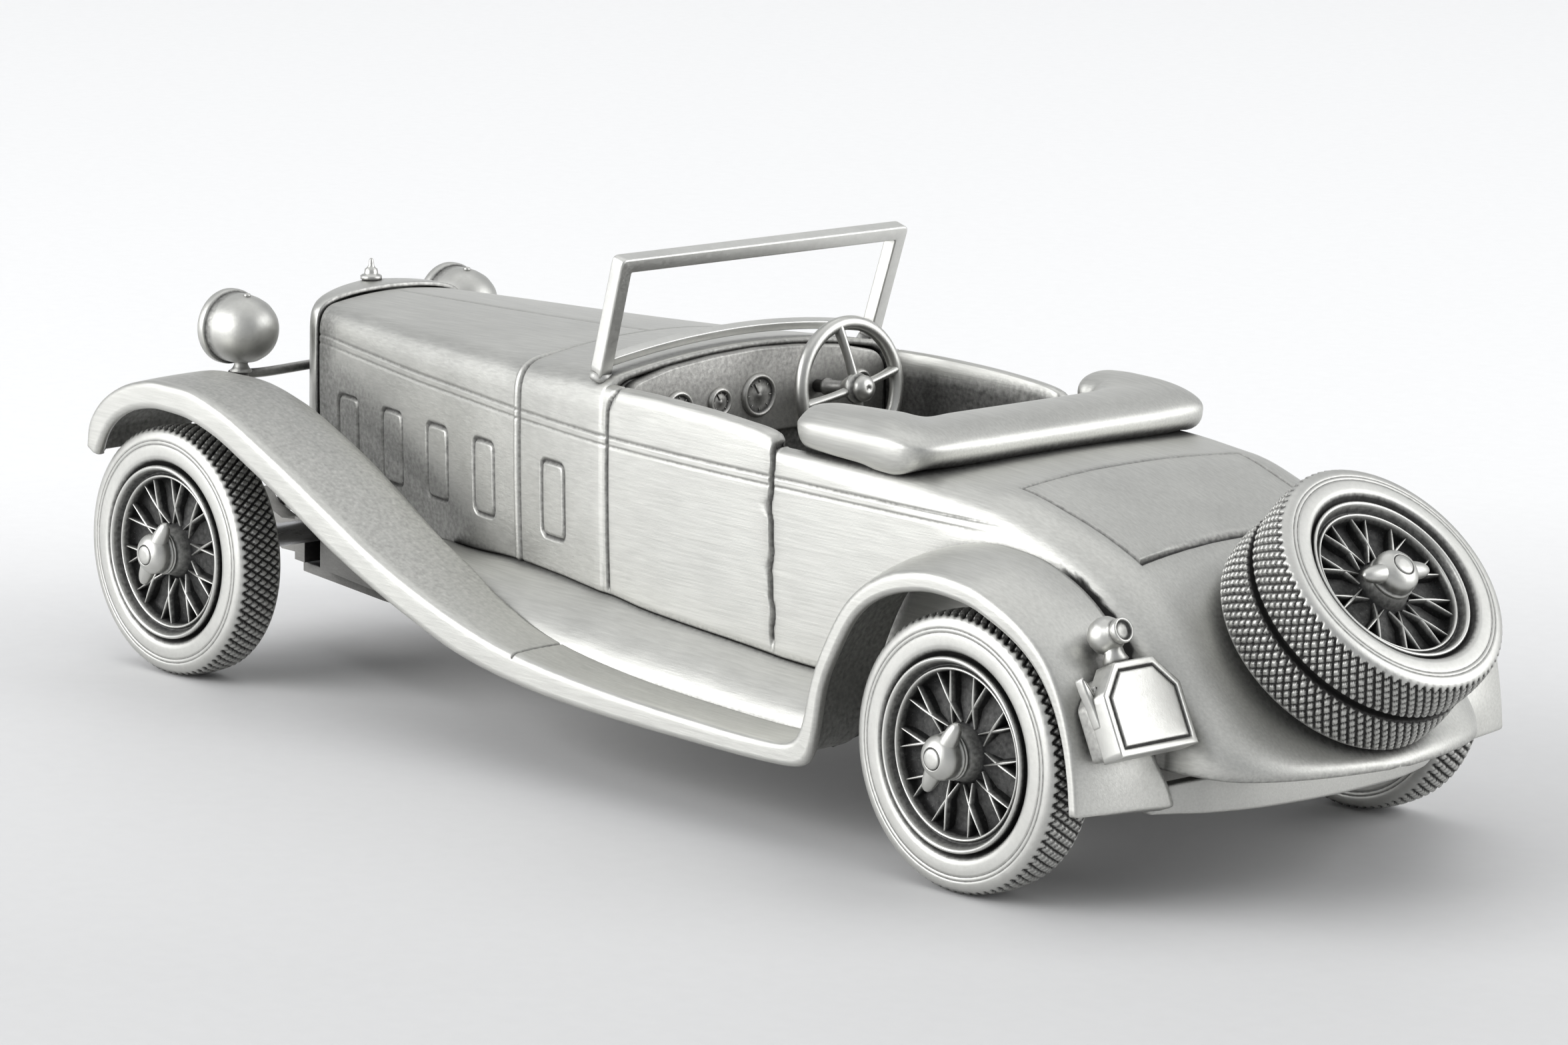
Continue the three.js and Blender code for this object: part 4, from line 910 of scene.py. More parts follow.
def apron(s):
    xs = np.linspace(61.0, 14.6, 110)
    wx = WING[::-1]
    rings, cav = [], []
    for x in xs:
        w, _, _, _, _, zb = row_at(x, "front" if x > 41.5 else ("middle" if x > 17 else "tail"))
        j = slice(0, 20)
        yi = float(np.interp(x, WING[j][::-1, 0], WING[j][::-1, 4]))
        zo = float(np.interp(x, WING[j][::-1, 0], WING[j][::-1, 1]))
        zi = zo - float(np.interp(x, WING[j][::-1, 0], WING[j][::-1, 5]))
        a = np.array([w - 0.75, zb - 0.05])
        d = np.array([yi + 0.55, zi + 0.06])
        b = a + np.array([0.55, -0.15 * (a[1] - d[1])])
        c = d + np.array([-0.55, 0.5 * (a[1] - d[1])])
        t = np.linspace(0, 1, 18)[:, None]
        top = (1 - t) ** 3 * a + 3 * t * (1 - t) ** 2 * b + 3 * t * t * (1 - t) * c + t**3 * d
        under = np.array([[d[0], d[1] - 0.5], [a[0] - 0.1, min(a[1] - 1.0, d[1] + 0.2)]])
        p = np.vstack([top, under])
        rings.append(np.stack([np.full(len(p), x), s * p[:, 0], p[:, 1]], 1))
        # Painted shadow along the upper edge under the body side, and painted shade where the panel meets the board and
        # on its underside.
        q = np.zeros(len(p))
        q[0], q[1], q[2] = 0.9, 0.55, 0.15
        q[17], q[16] = 0.55, 0.2
        q[-2:] = 0.8
        cav.append(q)
    return Part().grid(np.array(rings), np.array(cav), close_v=True, cap0=True, cap1=True)


apron(1).make("splash_panel_left", M_WING, "body", "wings_pewter", ["splash_apron_left"])
apron(-1).make("splash_panel_right", M_WING, "body", "wings_pewter", ["splash_apron_right"])

# ------------------------------------------------------------------ tail valance and front apron
p = Part()
pl = catmull([(13.3, -10.85), (12.6, -11.2), (11.8, -11.62), (10.9, -12.15), (9.6, -12.75), (6, -13.75), (0, -14.2), (-6, -13.75), (-9.6, -12.75), (-10.9, -12.15), (-11.8, -11.62), (-12.6, -11.2), (-13.3, -10.85)], 110)
rings = []
for y, x in pl:
    e = float(smooth((abs(y) - 9.5) / 4.0))
    prof = filleted([(0, 0), (1.0, 0), (1.0, 2.38 - 0.6 * e), (0.05, 2.38 - 0.6 * e)], 0.2, 4)
    rings.append([(x + a, y, 6.14 + 0.04 * e + b) for a, b in prof])
rings = np.array(rings)
p.grid(rings, 0.05, close_v=True, cap0=True, cap1=True)
p.make("tail_valance", M_CHASSIS, "body", "chassis_pewter", ["rear_valance"])

p = Part()
prof = catmull([(84.2, 11.7), (86.0, 11.45), (87.3, 10.9), (88.35, 9.9)], 18)
rings = []
for y in np.linspace(-4.4, 4.4, 26):
    bow = 0.25 * (1 - (y / 4.4) ** 2)
    up = [(x, y, z + bow) for x, z in prof]
    dn = [(x - 0.45 * k, y, z - 0.95 + bow) for k, (x, z) in zip(np.linspace(0, 1, 18)[::-1], prof[::-1])]
    rings.append(up + dn)
p.grid(np.array(rings), 0.0, close_v=True, cap0=True, cap1=True)
p.make("front_dust_apron", M_CHASSIS, "body", "chassis_pewter", ["front_apron"])

# ------------------------------------------------------------------ chassis, base and screws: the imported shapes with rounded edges
def softened(node, name, mat, body_name, width=0.12):
    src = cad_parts[node]
    me = src.data.copy()
    me.name = name
    o = bpy.data.objects.new(name, me)
    bpy.context.scene.collection.objects.link(o)
    bm = bmesh.new()
    bm.from_mesh(me)
    bmesh.ops.remove_doubles(bm, verts=bm.verts, dist=1e-6)
    bmesh.ops.dissolve_limit(bm, angle_limit=math.radians(2), verts=bm.verts, edges=bm.edges)
    bm.to_mesh(me)
    bm.free()
    if me.attributes.get("cav") is None:
        at = me.attributes.new("cav", "FLOAT", "POINT")
        at.data.foreach_set("value", np.zeros(len(me.vertices), np.float32))
    me.materials.clear()
    me.materials.append(mat)
    bv = o.modifiers.new("soft_edges", "BEVEL")
    bv.width = width * MM
    bv.segments = 2
    bv.limit_method = "ANGLE"
    bv.angle_limit = math.radians(30)
    bv.use_clamp_overlap = True
    me.polygons.foreach_set("use_smooth", [True] * len(me.polygons))
    me.set_sharp_from_angle(angle=math.radians(38))
    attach(o, body_name)
    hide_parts(node)
    return o


softened("chassis_plate", "chassis_casting", M_UNDER_SHADED, "body", 0.12)
softened("base_plate", "base_casting", M_UNDER_SHADED, "body", 0.10)
for n, nm in (("base_screw_front", "screw_front"), ("base_screw_rear", "screw_rear")):
    softened(n, nm, M_STEEL, "body", 0.05)
for n, nm, b in (("front_axle", "axle_bar_front", "front_wheelset"), ("rear_axle", "axle_bar_rear", "rear_wheelset")):
    lo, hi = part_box(n)
    xm, zm = (lo[0] + hi[0]) / 2 / MM - RX, (lo[2] + hi[2]) / 2 / MM
    half = hi[1] / MM
    q = Part()
    q.turned([(0, -half), (0.8, -half), (0.9, -half + 0.12), (0.9, -14.2), (0.86, -14.1), (0.86, 14.1), (0.9, 14.2), (0.9, half - 0.12), (0.8, half), (0, half)], 48, (xm, 0, zm), (0, 1, 0))
    q.make(nm, M_STEEL, b, "steel", [n])

# ------------------------------------------------------------------ radiator
p = Part()
outline = [(6.8, 11.4), (7.0, 18)] + [(7.0, 24.0), (6.85, 25.1), (6.2, 25.9), (4.9, 26.35), (2.5, 26.65), (0, 26.75)]
o_y = [a for a, _ in outline]
o_z = [b for _, b in outline]
s_ = np.concatenate([[0], np.cumsum(np.hypot(np.diff(o_y), np.diff(o_z)))])
tt = np.linspace(0, s_[-1], 90)
rim = np.stack([pchip(s_, o_y, tt), pchip(s_, o_z, tt)], 1)
rim[-1, 0] = 0
rim = np.vstack([rim, (rim[:-1] * np.array([-1, 1]))[::-1]])


def face_x(y):
    return 83.45 - 2.15 * (np.abs(y) / 7.0) ** 1.15


# Shell: back edge, over the outside, front edge, and into the grille recess.
rings, cv = [], []
for scale, xo, c in (
    (0.96, "b", 0.5), (0.995, "b2", 0.3), (1.0, "b3", 0.0), (1.0, -0.45, 0.0), (0.99, -0.15, 0.0), (0.965, 0.0, 0.0), (0.93, 0.02, 0.0), (0.885, 0.0, 0.05), (0.86, -0.08, 0.3), (0.85, -0.3, 0.8), (0.848, -0.6, 1.0),
):
    q = rim.copy()
    q[:, 0] = rim[:, 0] * scale
    q[:, 1] = 18.6 + (rim[:, 1] - 18.6) * (1 - (1 - scale) * 0.92)
    if isinstance(xo, str):
        x = np.full(len(q), {"b": 80.35, "b2": 80.3, "b3": 80.42}[xo])
    else:
        x = face_x(q[:, 0]) + xo
    rings.append(np.stack([x, q[:, 0], q[:, 1]], 1))
    cv.append(np.full(len(q), c))
p.grid(np.array(rings), np.array(cv))
# Grille ground and upright bars.
gy = np.linspace(-5.9, 5.9, 40)
ztop = np.interp(np.abs(gy), [0, 2.4, 4.6, 5.5, 5.9], [25.55, 25.45, 25.15, 24.6, 23.2])
p.grid(np.array([[(face_x(y) - 0.55, y, z) for z in np.linspace(12.0, zt_, 12)] for y, zt_ in zip(gy, ztop)]), 0.95)
for y in np.arange(-5.4, 5.41, 0.6):
    zt_ = float(np.interp(abs(y), [0, 2.4, 4.6, 5.5, 5.9], [25.55, 25.45, 25.15, 24.6, 23.2]))
    x0 = float(face_x(y)) - 0.32
    p.tube([(x0, y, 12.0), (x0, y, 16), (x0, y, 20), (x0, y, zt_)], 0.13, 10)
p.grid(np.array([[(80.4, y, z) for z in (11.4, 18, 24.2)] for y in (-6.7, 0, 6.7)]), 0.8)
# Bottom tray.
p.tube([(82.4 - 1.2 * (abs(y) / 6.4) ** 1.2, y, 11.75) for y in np.linspace(-6.4, 6.4, 15)], 0.5, 14)
p.make("radiator_shell", M_BRIGHT, "body", "body_pewter", ["radiator"], recalc=False)
p = Part()
p.turned([(0, 0), (0.72, 0), (0.8, 0.06), (0.8, 0.26), (0.72, 0.34), (0.52, 0.42), (0.5, 0.6), (0.46, 0.78), (0.3, 0.9), (0.22, 1.05), (0.2, 1.25), (0.17, 1.42), (0.1, 1.55), (0, 1.6)], 40, (82.65, 0, 26.75), (0, 0, 1))
p.make("radiator_filler_cap", M_BRIGHT, "body", "bright_fittings", ["radiator_cap"])

# ------------------------------------------------------------------ headlamps
for nm, s in (("left", 1), ("right", -1)):
    p = Part()
    x, y, z, r = 84.7, 10.4 * s, 23.85, 2.5
    prof = [(0, -2.75), (0.35, -2.74), (0.75, -2.66), (1.2, -2.45), (1.6, -2.12), (1.95, -1.68), (2.2, -1.15), (2.34, -0.5), (2.4, 0.2), (2.4, 0.95)]
    prof += [(2.42, 1.02), (2.55, 1.06), (2.6, 1.16), (2.6, 1.6), (2.55, 1.72), (2.42, 1.78), (2.25, 1.76), (2.2, 1.7), (1.9, 1.84), (1.5, 1.96), (1.0, 2.06), (0.5, 2.11), (0, 2.13)]
    prof = [(a * 1.06, b * 1.04) for a, b in prof]
    cv = np.zeros(len(prof))
    cv[9:11] = 0.8
    cv[17] = 0.9
    p.turned(prof, 72, (x, y, z), (1, 0, 0), cav=cv)
    # Fluted lens ribs.
    for k in np.linspace(-1.5, 1.5, 7):
        h = math.sqrt(max(0.0, 2.0**2 - k * k))
        p.tube([(x + 1.86 + 0.26 * (1 - (k * k + t * t) / 4.4), y + k, z + t) for t in np.linspace(-h, h, 9)], 0.07, 8)
    p.turned([(0, 0), (0.78, 0), (0.82, 0.1), (0.62, 0.3), (0.5, 0.55), (0.52, 0.85), (0.72, 1.1), (0.8, 1.3), (0, 1.3)], 32, (x + 0.1, y, z - 3.2), (0, 0, 1))
    p.turned([(0, 0), (0.2, 0.02), (0.26, 0.12), (0.24, 0.3), (0, 0.36)], 16, (x - 0.6, y, z + 2.32), (0, 0, 1))
    p.make("lamp_" + nm, M_LAMP_SHADED, "body", "bright_fittings", ["headlamp_" + nm])
p = Part()
bar = catmull([(85.1, 10.6, 20.45), (85.05, 8, 20.35), (84.9, 4, 20.5), (84.8, 0, 20.6), (84.9, -4, 20.5), (85.05, -8, 20.35), (85.1, -10.6, 20.45)], 60)
p.tube(bar, 0.36, 16)
for s in (1, -1):
    p.turned([(0, 0), (0.7, 0), (0.78, 0.08), (0.78, 0.5), (0.7, 0.6), (0, 0.6)], 32, (85.1, 10.4 * s, 20.1), (0, 0, 1))
    # Stays down to the wings.
    p.tube(catmull([(85.1, 10.4 * s, 20.3), (85.0, 10.7 * s, 19.6), (84.9, 11.2 * s, 19.1)], 8), 0.42, 14)
p.make("lamp_bar", M_DARK_SHADED, "body", "bright_fittings", ["headlamp_bar"])

# ------------------------------------------------------------------ windscreen frame
foot, head = np.array([42.85, 0, 26.15]), np.array([40.35, 0, 34.9])
up = head - foot
H = np.linalg.norm(up)
up /= H
acr = np.cross([0, 1.0, 0], up)
acr /= np.linalg.norm(acr)


def on_screen(a, b, d):
    return foot + np.array([0, a, 0]) + up * b + acr * d


sec = filleted([(-0.5, -0.5), (0.5, -0.5), (0.5, 0.5), (-0.5, 0.5)], 0.14, 3)


def both_sides(outer, inner, r_out, r_in, step):
    """The outer and inner lines of a bent bar, cut into the same number of places."""
    o = filleted(outer, [0] + [r_out] * (len(outer) - 2) + [0], 7, closed=False)
    i = filleted(inner, [0] + [r_in] * (len(inner) - 2) + [0], 7, closed=False)
    out = []
    for a0, a1, b0, b1 in zip(o[:-1], o[1:], i[:-1], i[1:]):
        k = max(1, int(math.ceil(np.linalg.norm(a1 - a0) / step)))
        out += [(a0 + (a1 - a0) * t / k, b0 + (b1 - b0) * t / k) for t in range(k)]
    return out + [(o[-1], i[-1])]


p = Part()
rings = []
pairs = both_sides(
    [(-13.05, 0.3), (-13.45, H), (13.2, H), (13.05, 0.3)], [(-12.0, 0.3), (-12.4, H - 1.02), (12.1, H - 1.02), (11.95, 0.3)], 0.5, 0.12, 0.7
)
for a, b in pairs:
    m_, h_ = (a + b) / 2, a - b
    rings.append([on_screen(m_[0] + h_[0] * q, m_[1] + h_[1] * q, d * 1.12) for q, d in sec])
p.grid(np.array(rings), 0.0, close_v=True, cap0=True, cap1=True)
# Lower rail following the cowl.
rings = []
for a in np.linspace(-12.4, 12.4, 70):
    lo_o = 2.2 - 1.15 * (abs(a) / 12.1) ** 2
    lo_i = lo_o + 0.62
    m_, h_ = (lo_o + lo_i) / 2, (lo_i - lo_o)
    rings.append([on_screen(a, m_ + h_ * q, d * 0.8) for q, d in sec])
p.grid(np.array(rings), 0.0, close_v=True, cap0=True, cap1=True)
# Feet pads on the cowl.
for s in (1, -1):
    p.turned([(0, -0.3), (0.75, -0.3), (0.8, -0.1), (0.7, 0.25), (0, 0.3)], 28, on_screen(12.45 * s, 0.35, 0), up, cav=0.35)
p.make("screen_frame", M_SCREEN_LIT, "body", "bright_fittings", ["windscreen_frame"])

# ------------------------------------------------------------------ dashboard
p = Part()
dash = [(-11.9, 21.4), (11.9, 21.4), (12.1, 25.0), (11.3, 26.05), (8, 26.8), (4, 27.2), (0, 27.35), (-4, 27.2), (-8, 26.8), (-11.3, 26.05), (-12.1, 25.0)]
p.prism(filleted(dash, 0.6, 4), ((40.5, 0, 0), (0, -1, 0), (0, 0, 1), (-1, 0, 0)), 0.95, 0.16, cav=0.3)
for y, r, z in ((0, 1.45, 24.1), (3.6, 0.95, 24.0), (7.4, 1.2, 23.9), (-9.6, 0.95, 23.9)):
    cv = [0, 0, 0, 0, 0, 0.9, 0.9, 0.35, 0.35, 0.2, 0.2]
    prof = [(r + 0.12, -0.1), (r + 0.1, 0.1), (r, 0.26), (r - 0.1, 0.3), (r - 0.2, 0.26), (r - 0.25, 0.1), (r - 0.32, 0.08), (r * 0.55, 0.1), (0.2, 0.1), (0.16, 0.2), (0, 0.22)]
    p.turned(prof, 40, (40.5, y, z), (-1, 0, 0), cav=cv)
    p.tube([(40.36, y, z), (40.34, y + 0.3 * r, z + 0.55 * r)], 0.06, 8)
    for k in range(8):
        a = k * pi / 4
        p.tube([(40.37, y + 0.62 * r * math.cos(a), z + 0.62 * r * math.sin(a)), (40.37, y + 0.74 * r * math.cos(a), z + 0.74 * r * math.sin(a))], 0.035, 6)
p.make("dash_panel", M_DASH, "body", "cockpit_patina", ["dashboard"])

# ------------------------------------------------------------------ steering wheel
st = dict(x=37.2, y=-5.5, z=24.5, r=4.5, tilt=0.102)
n_ = np.array([-math.cos(st["tilt"]), 0, math.sin(st["tilt"])])
t_ = np.array([math.sin(st["tilt"]), 0, math.cos(st["tilt"])])
c_ = np.array([st["x"], st["y"], st["z"]])
p = Part()
q = np.linspace(0, 2 * pi, 90, endpoint=False)
p.tube([c_ + st["r"] * (np.cos(a) * np.array([0, -1.0, 0]) + np.sin(a) * t_) for a in q], 0.5, 20, closed=True, up=n_)
for k in range(4):
    a = 0.19 + k * pi / 2
    d = -math.cos(a) * np.array([0, 1.0, 0]) + math.sin(a) * t_
    side = np.cross(n_, d)
    pts = [c_ + n_ * (0.62 - 0.62 * (u_**2)) + d * (0.3 + (st["r"] - 0.35) * u_) for u_ in np.linspace(0, 1, 14)]
    rad = [0.46 - 0.1 * math.sin(pi * u_) + 0.03 * u_ for u_ in np.linspace(0, 1, 14)]
    p.tube(pts, rad, 12, flat=0.75, up=side)
prof = [(0, -0.3), (0.6, -0.3), (0.72, -0.1), (0.82, 0.3), (1.02, 0.5), (1.1, 0.75), (1.04, 1.0), (0.86, 1.14), (0.84, 1.26), (0.92, 1.4), (0.9, 1.6), (0.72, 1.85), (0.42, 2.0), (0.14, 2.02), (0.1, 1.98), (0, 1.98)]
cv = np.zeros(len(prof))
cv[7:9] = 0.8
p.turned(prof, 40, c_, n_, cav=cv)
p.make("wheel_steering", M_BRIGHT, "body", "bright_fittings", ["steering_wheel"])
p = Part()
e0, e1 = c_ - n_ * 0.25, c_ - n_ * 3.2
L_ = np.linalg.norm(e1 - e0)
p.turned([(0, 0), (0.42, 0), (0.45, 0.1), (0.45, L_ * 0.6), (0.6, L_ * 0.62), (0.6, L_ * 0.72), (0.45, L_ * 0.74), (0.45, L_), (0, L_)], 28, e0, e1 - e0)
p.make("column_steering", M_DARK_SHADED, "body", "cockpit_patina", ["steering_column"])

# ------------------------------------------------------------------ bench seat
p = Part()
ys = np.linspace(-11.95, 11.95, 240)
prof = catmull([(33.4, 10.2), (33.55, 12.5), (33.5, 14.4), (32.9, 15.25), (31.5, 15.5), (27.5, 15.2), (23.6, 14.9), (22.2, 15.3), (21.5, 17.5), (20.9, 20.5), (20.3, 22.9), (19.6, 23.75), (18.8, 23.85), (18.0, 23.4), (17.7, 22.4), (17.6, 16), (17.6, 10.2)], 90)
tan = np.gradient(prof, axis=0)
nrm = np.stack([-tan[:, 1], tan[:, 0]], 1)
nrm /= np.linalg.norm(nrm, axis=1, keepdims=True)
nrm *= -1 if nrm[20, 1] < 0 else 1
rings, cv = [], []
for y in ys:
    ph = ((y + 11.95) / 23.9 * 14) % 1
    g = abs(math.sin(pi * ph)) ** 0.6
    edge = min(1.0, (11.95 - abs(y)) / 0.5)
    on = np.interp(np.arange(90), [6, 14, 66, 74], [0, 1, 1, 0])
    d = (-0.32 * (1 - g) * on - 0.5 * (1 - math.sqrt(max(0, 1 - (1 - edge) ** 2))))[:, None]
    q = prof + nrm * d
    rings.append(np.stack([q[:, 0], np.full(90, y), q[:, 1]], 1))
    cv.append(0.25 + 0.6 * (1 - g) * on)
p.grid(np.array(rings), np.clip(np.array(cv), 0, 1), close_v=True, cap0=True, cap1=True)
p.make("seat_bench", M_DARK_SHADED, "body", "cockpit_patina", ["bench_seat"])

# ------------------------------------------------------------------ folded top
ST = np.array([
    [22.4, 12.6, 22.4, 11.2, 26.0, 26.9],
    [21.95, 13.6, 21.95, 10.1, 25.35, 27.35],
    [20.8, 14.1, 20.8, 9.5, 24.95, 27.6],
    [18.8, 14.2, 19.2, 9.35, 24.75, 27.7],
    [16.2, 14.2, 17.9, 9.2, 24.65, 27.75],
    [13.3, 14.15, 16.9, 8.7, 24.6, 27.7],
    [11.4, 13.6, 16.4, 8.0, 24.5, 27.55],
    [10.4, 12.2, 16.2, 7.2, 24.35, 27.45],
    [10.05, 8.5, 16.15, 5.6, 24.3, 27.4],
    [9.95, 4.0, 16.1, 2.9, 24.35, 27.4],
    [9.95, 0.0, 16.1, 0.0, 24.35, 27.4],
])
far = ST[:-1][::-1] * np.array([1, -1, 1, -1, 1, 1])
for k_ in (0, 2):  # the far arm is shorter
    far[:, k_] = np.where(far[:, k_] > 17, 17 + (far[:, k_] - 17) * 0.52, far[:, k_])
full = np.vstack([ST, far])
rows = catmull(full, 190)


def deck(x, y):
    """Height of the body's skin at (x, y)."""
    w, zt, c, ry, rz, zb = row_at(x, "middle" if x > 17 else "tail")
    ze, yc = zt - c, max(w - ry, 0.2 * w)
    y = abs(y)
    if y <= yc:
        return zt - c * (y / w) ** 2
    t = min(1.0, (y - yc) / (w - yc))
    return (zt - c * (yc / w) ** 2) - rz * (1 - math.sqrt(max(0.0, 1 - t * t)))


rings, cv = [], []
NQ = 52
for i, (xo, yo, xi, yi, lo_, hi_) in enumerate(rows):
    r_, c_row = [], []
    sag = 0.16 * math.exp(-(((i / 189) - 0.27) / 0.05) ** 2)  # a shallow dimple at the near corner
    for k in range(NQ):
        an = k / NQ * 2 * pi
        arm = float(smooth((xo - 12.0) / 4.0))  # the arms are rounder than the bench
        c = math.copysign(abs(math.cos(an)) ** (0.68 + 0.22 * arm), math.cos(an))
        v = math.copysign(abs(math.sin(an)) ** (0.78 + 0.17 * arm), math.sin(an))
        u_ = 0.5 - 0.5 * c
        x_, y_ = xo + (xi - xo) * u_, yo + (yi - yo) * u_
        z_ = (lo_ + hi_) / 2 + (hi_ - lo_) / 2 * v
        if v > 0:
            z_ -= 0.55 * (max(0.0, 0.5 - u_) * 2) ** 2 * v + sag * v
        else:
            # The underside lies on the deck.
            floor_ = deck(x_, y_) - 0.12
            low_ = max(min(lo_, floor_), lo_ - 1.1) if u_ < 0.9 else lo_
            z_ = (lo_ + hi_) / 2 + ((lo_ + hi_) / 2 - low_) * v
            # and leans in a little under its outer edge
            x_ += (xi - xo) * 0.05 * v * v * (1 - u_)
            y_ += (yi - yo) * 0.05 * v * v * (1 - u_)
        r_.append((x_, y_, z_))
        # Painted shade where the underside sits on the deck, stronger under the outer part.
        c_row.append(max(0.0, min(1.0, (deck(x_, y_) + 0.22 - z_) / 0.25)) * (0.8 if u_ < 0.75 else 0.4))
    rings.append(r_)
    cv.append(c_row)
P = np.array(rings)
C = np.array(cv)
for end in (0, -1):
    c = P[end].mean(0)
    t = c - P[1 if end == 0 else -2].mean(0)
    t /= np.linalg.norm(t)
    e = [c + (P[end] - c) * k + t * d for k, d in ((0.93, 0.16), (0.78, 0.32), (0.55, 0.44), (0.25, 0.5))]
    cc = np.repeat(C[[end]], 4, 0)
    P = np.concatenate([np.array(e[::-1]), P]) if end == 0 else np.concatenate([P, np.array(e)])
    C = np.concatenate([cc, C]) if end == 0 else np.concatenate([C, cc])
p = Part().grid(P, C, close_v=True, cap0=True, cap1=True)
p.make("top_folded", M_BODY, "body", "body_pewter", ["folded_top"])

# ------------------------------------------------------------------ number plate box and tail lamp
tip = math.radians(26)
pn = np.array([-math.cos(tip), 0, math.sin(tip)])
pu = np.array([math.sin(tip), 0, math.cos(tip)])
pf = np.array([-14.45, 16.5, 11.5])
shape = [(-3.4, 0), (3.4, 0), (3.4, 4.0), (1.7, 5.9), (-1.7, 5.9), (-3.4, 4.0)]
p = Part()
p.prism(
    shape, (pf, (0, 1, 0), pu, pn), 1.75, 0.13, step=0.4,
    engrave=[(0.30, 0.0, 0.0), (0.42, 0.0, 0.0), (0.46, -0.04, 0.6), (0.5, -0.15, 1.0), (0.6, -0.15, 1.0), (0.64, -0.04, 0.6), (0.68, 0.0, 0.0), (0.8, 0.01, 0.0), (1.0, 0.015, 0.0), (1.3, 0.02, 0.0)],
)
# Stepped back and the lug to the wing.
p.prism(filleted([(a * 0.86, 0.35 + b * 0.86) for a, b in shape], 0.3, 3), (pf - pn * 1.7, (0, 1, 0), pu, pn), 1.5, 0.2, cav=0.35)
lug = [(2.5, 2.2), (2.55, 4.6), (2.85, 4.9), (3.05, 4.4), (3.25, 4.9), (3.6, 5.55), (3.8, 5.4), (3.75, 4.6), (3.55, 3.4), (3.45, 2.2)]
p.prism(filleted(lug, 0.12, 3), (pf - pn * 1.0, (0, 1, 0), pu, pn), 0.75, 0.16, step=0.4)
p.make("plate_box", M_BRIGHT, "body", "bright_fittings", ["number_plate_box"])
la = pf + pu * 6.25 - pn * 1.0 + np.array([0.3, 0.25, 0])
lc = la + pu * 1.45
ax = np.array([-1, 0, 0.42])
ax /= np.linalg.norm(ax)
p = Part()
prof = [(0, -1.3), (0.4, -1.26), (0.8, -1.05), (1.08, -0.7), (1.2, -0.25), (1.18, 0.15), (1.02, 0.5), (0.84, 0.75), (0.76, 0.95), (0.8, 1.05), (0.82, 1.4), (0.76, 1.5), (0.66, 1.5), (0.6, 1.42), (0.56, 1.24), (0.3, 1.3), (0, 1.32)]
cv = np.zeros(len(prof))
cv[8] = 0.8
cv[13:15] = 0.9
cv[15:] = 0.35
p.turned(prof, 48, lc, ax, cav=cv)
p.tube([la - pu * 0.25, la + pu * 0.3, la + pu * 0.9], [0.85, 0.6, 0.65], 18)
p.make("lamp_tail", M_BRIGHT, "body", "bright_fittings", ["tail_lamp"])

# ------------------------------------------------------------------ wheels
TYRE_Y, TYRE_R = 18.35, 9.06


def tyre_profile():
    """(radius, distance outwards) round a tyre, from the inner bead over the tread to the outer bead, and its darkness."""
    out = [
        (6.28, 1.35, 1.0), (6.42, 1.45, 1.0), (6.55, 1.72, 0.95), (6.66, 1.9, 0.45), (6.8, 1.97, 0.0), (7.05, 1.985, 0.0), (7.35, 1.98, 0.0), (7.6, 1.97, 0.0),
        (7.72, 1.955, 0.1), (7.77, 1.91, 0.75), (7.82, 1.95, 0.1), (7.93, 1.955, 0.05), (7.99, 1.945, 0.1), (8.04, 1.895, 0.75), (8.09, 1.93, 0.1),
        (8.2, 1.93, 0.0), (8.4, 1.9, 0.0), (8.6, 1.82, 0.0), (8.76, 1.7, 0.0), (8.87, 1.56, 0.0), (8.95, 1.42, 0.0),
    ]
    tread = [(8.96 + 0.1 * (1 - (t / 1.35) ** 2), t, 0.0) for t in np.linspace(1.35, -1.35, 40)]
    inn = [(r, -t, c) for r, t, c in out[::-1]]
    return out + tread + inn, len(out), len(tread)


def knurl(th, R, T, n_around=84, pitch=1.02, deep=0.25, hi=1.62, lo=-1.62):
    band = smooth((hi - T) / 0.14) * smooth((T - lo) / 0.14) * (R > 8.55)
    a = n_around * th / (2 * pi)
    g = np.zeros_like(R)
    for s in (1, -1):
        ph = (a + s * T / pitch) % 1.0
        d = np.abs(ph - 0.5)
        g = np.maximum(g, smooth((d - 0.295) / 0.10))
    # Irregular wear between the cut lines.
    wear = 0.5 + 0.5 * np.sin(th * 11 + T * 2.1) * np.sin(th * 5 + 1.3)
    g = g * band * (0.8 + 0.2 * wear)
    return R - deep * g, T, np.clip(g * 2.6, 0, 1)


def tyre(part, origin, axis, k=1.0, turn=0.0, crisp=()):
    """crisp lists the sides (+1 outer, -1 inner) whose shoulder is a sharp dark edge instead of a round one."""
    prof, a, b = tyre_profile()
    pr = np.array(prof)
    cv = pr[:, 2].copy()
    hi, lo = 1.62, -1.62
    for side in crisp:
        # The tread runs out flat to the edge, and the face beyond it, in the gap between the two spare tyres, is
        # painted black as shade.
        on = (pr[:, 0] > 8.19) & (pr[:, 1] * side > 1.4)
        r_, t_ = pr[on, 0], pr[on, 1] * side
        pr[on, 0] = np.interp(r_, [8.2, 8.6, 8.76, 8.87, 8.95, 8.97], [8.2, 8.7, 8.86, 8.93, 8.955, 8.96])
        pr[on, 1] = side * np.interp(r_, [8.2, 8.6, 8.76, 8.87, 8.95, 8.97], [1.76, 1.76, 1.75, 1.71, 1.6, 1.42])
        cv = np.where(on & (pr[:, 0] < 8.95), 1.0, cv)
        cv = np.where((pr[:, 1] * side > 1.5) & (pr[:, 0] < 8.3), 1.0, cv)
        if side > 0:
            hi = 1.78
        else:
            lo = -1.78
    segs = 84 * 8

    def wave(th, R, T):
        R2, T2, C = knurl(th, R, T, hi=hi, lo=lo)
        return R2 * k, T2 * k, np.maximum(C, np.broadcast_to(cv, C.shape))

    part.turned(pr[:, :2], segs, origin, axis, turn=turn, wave=wave)
    return part


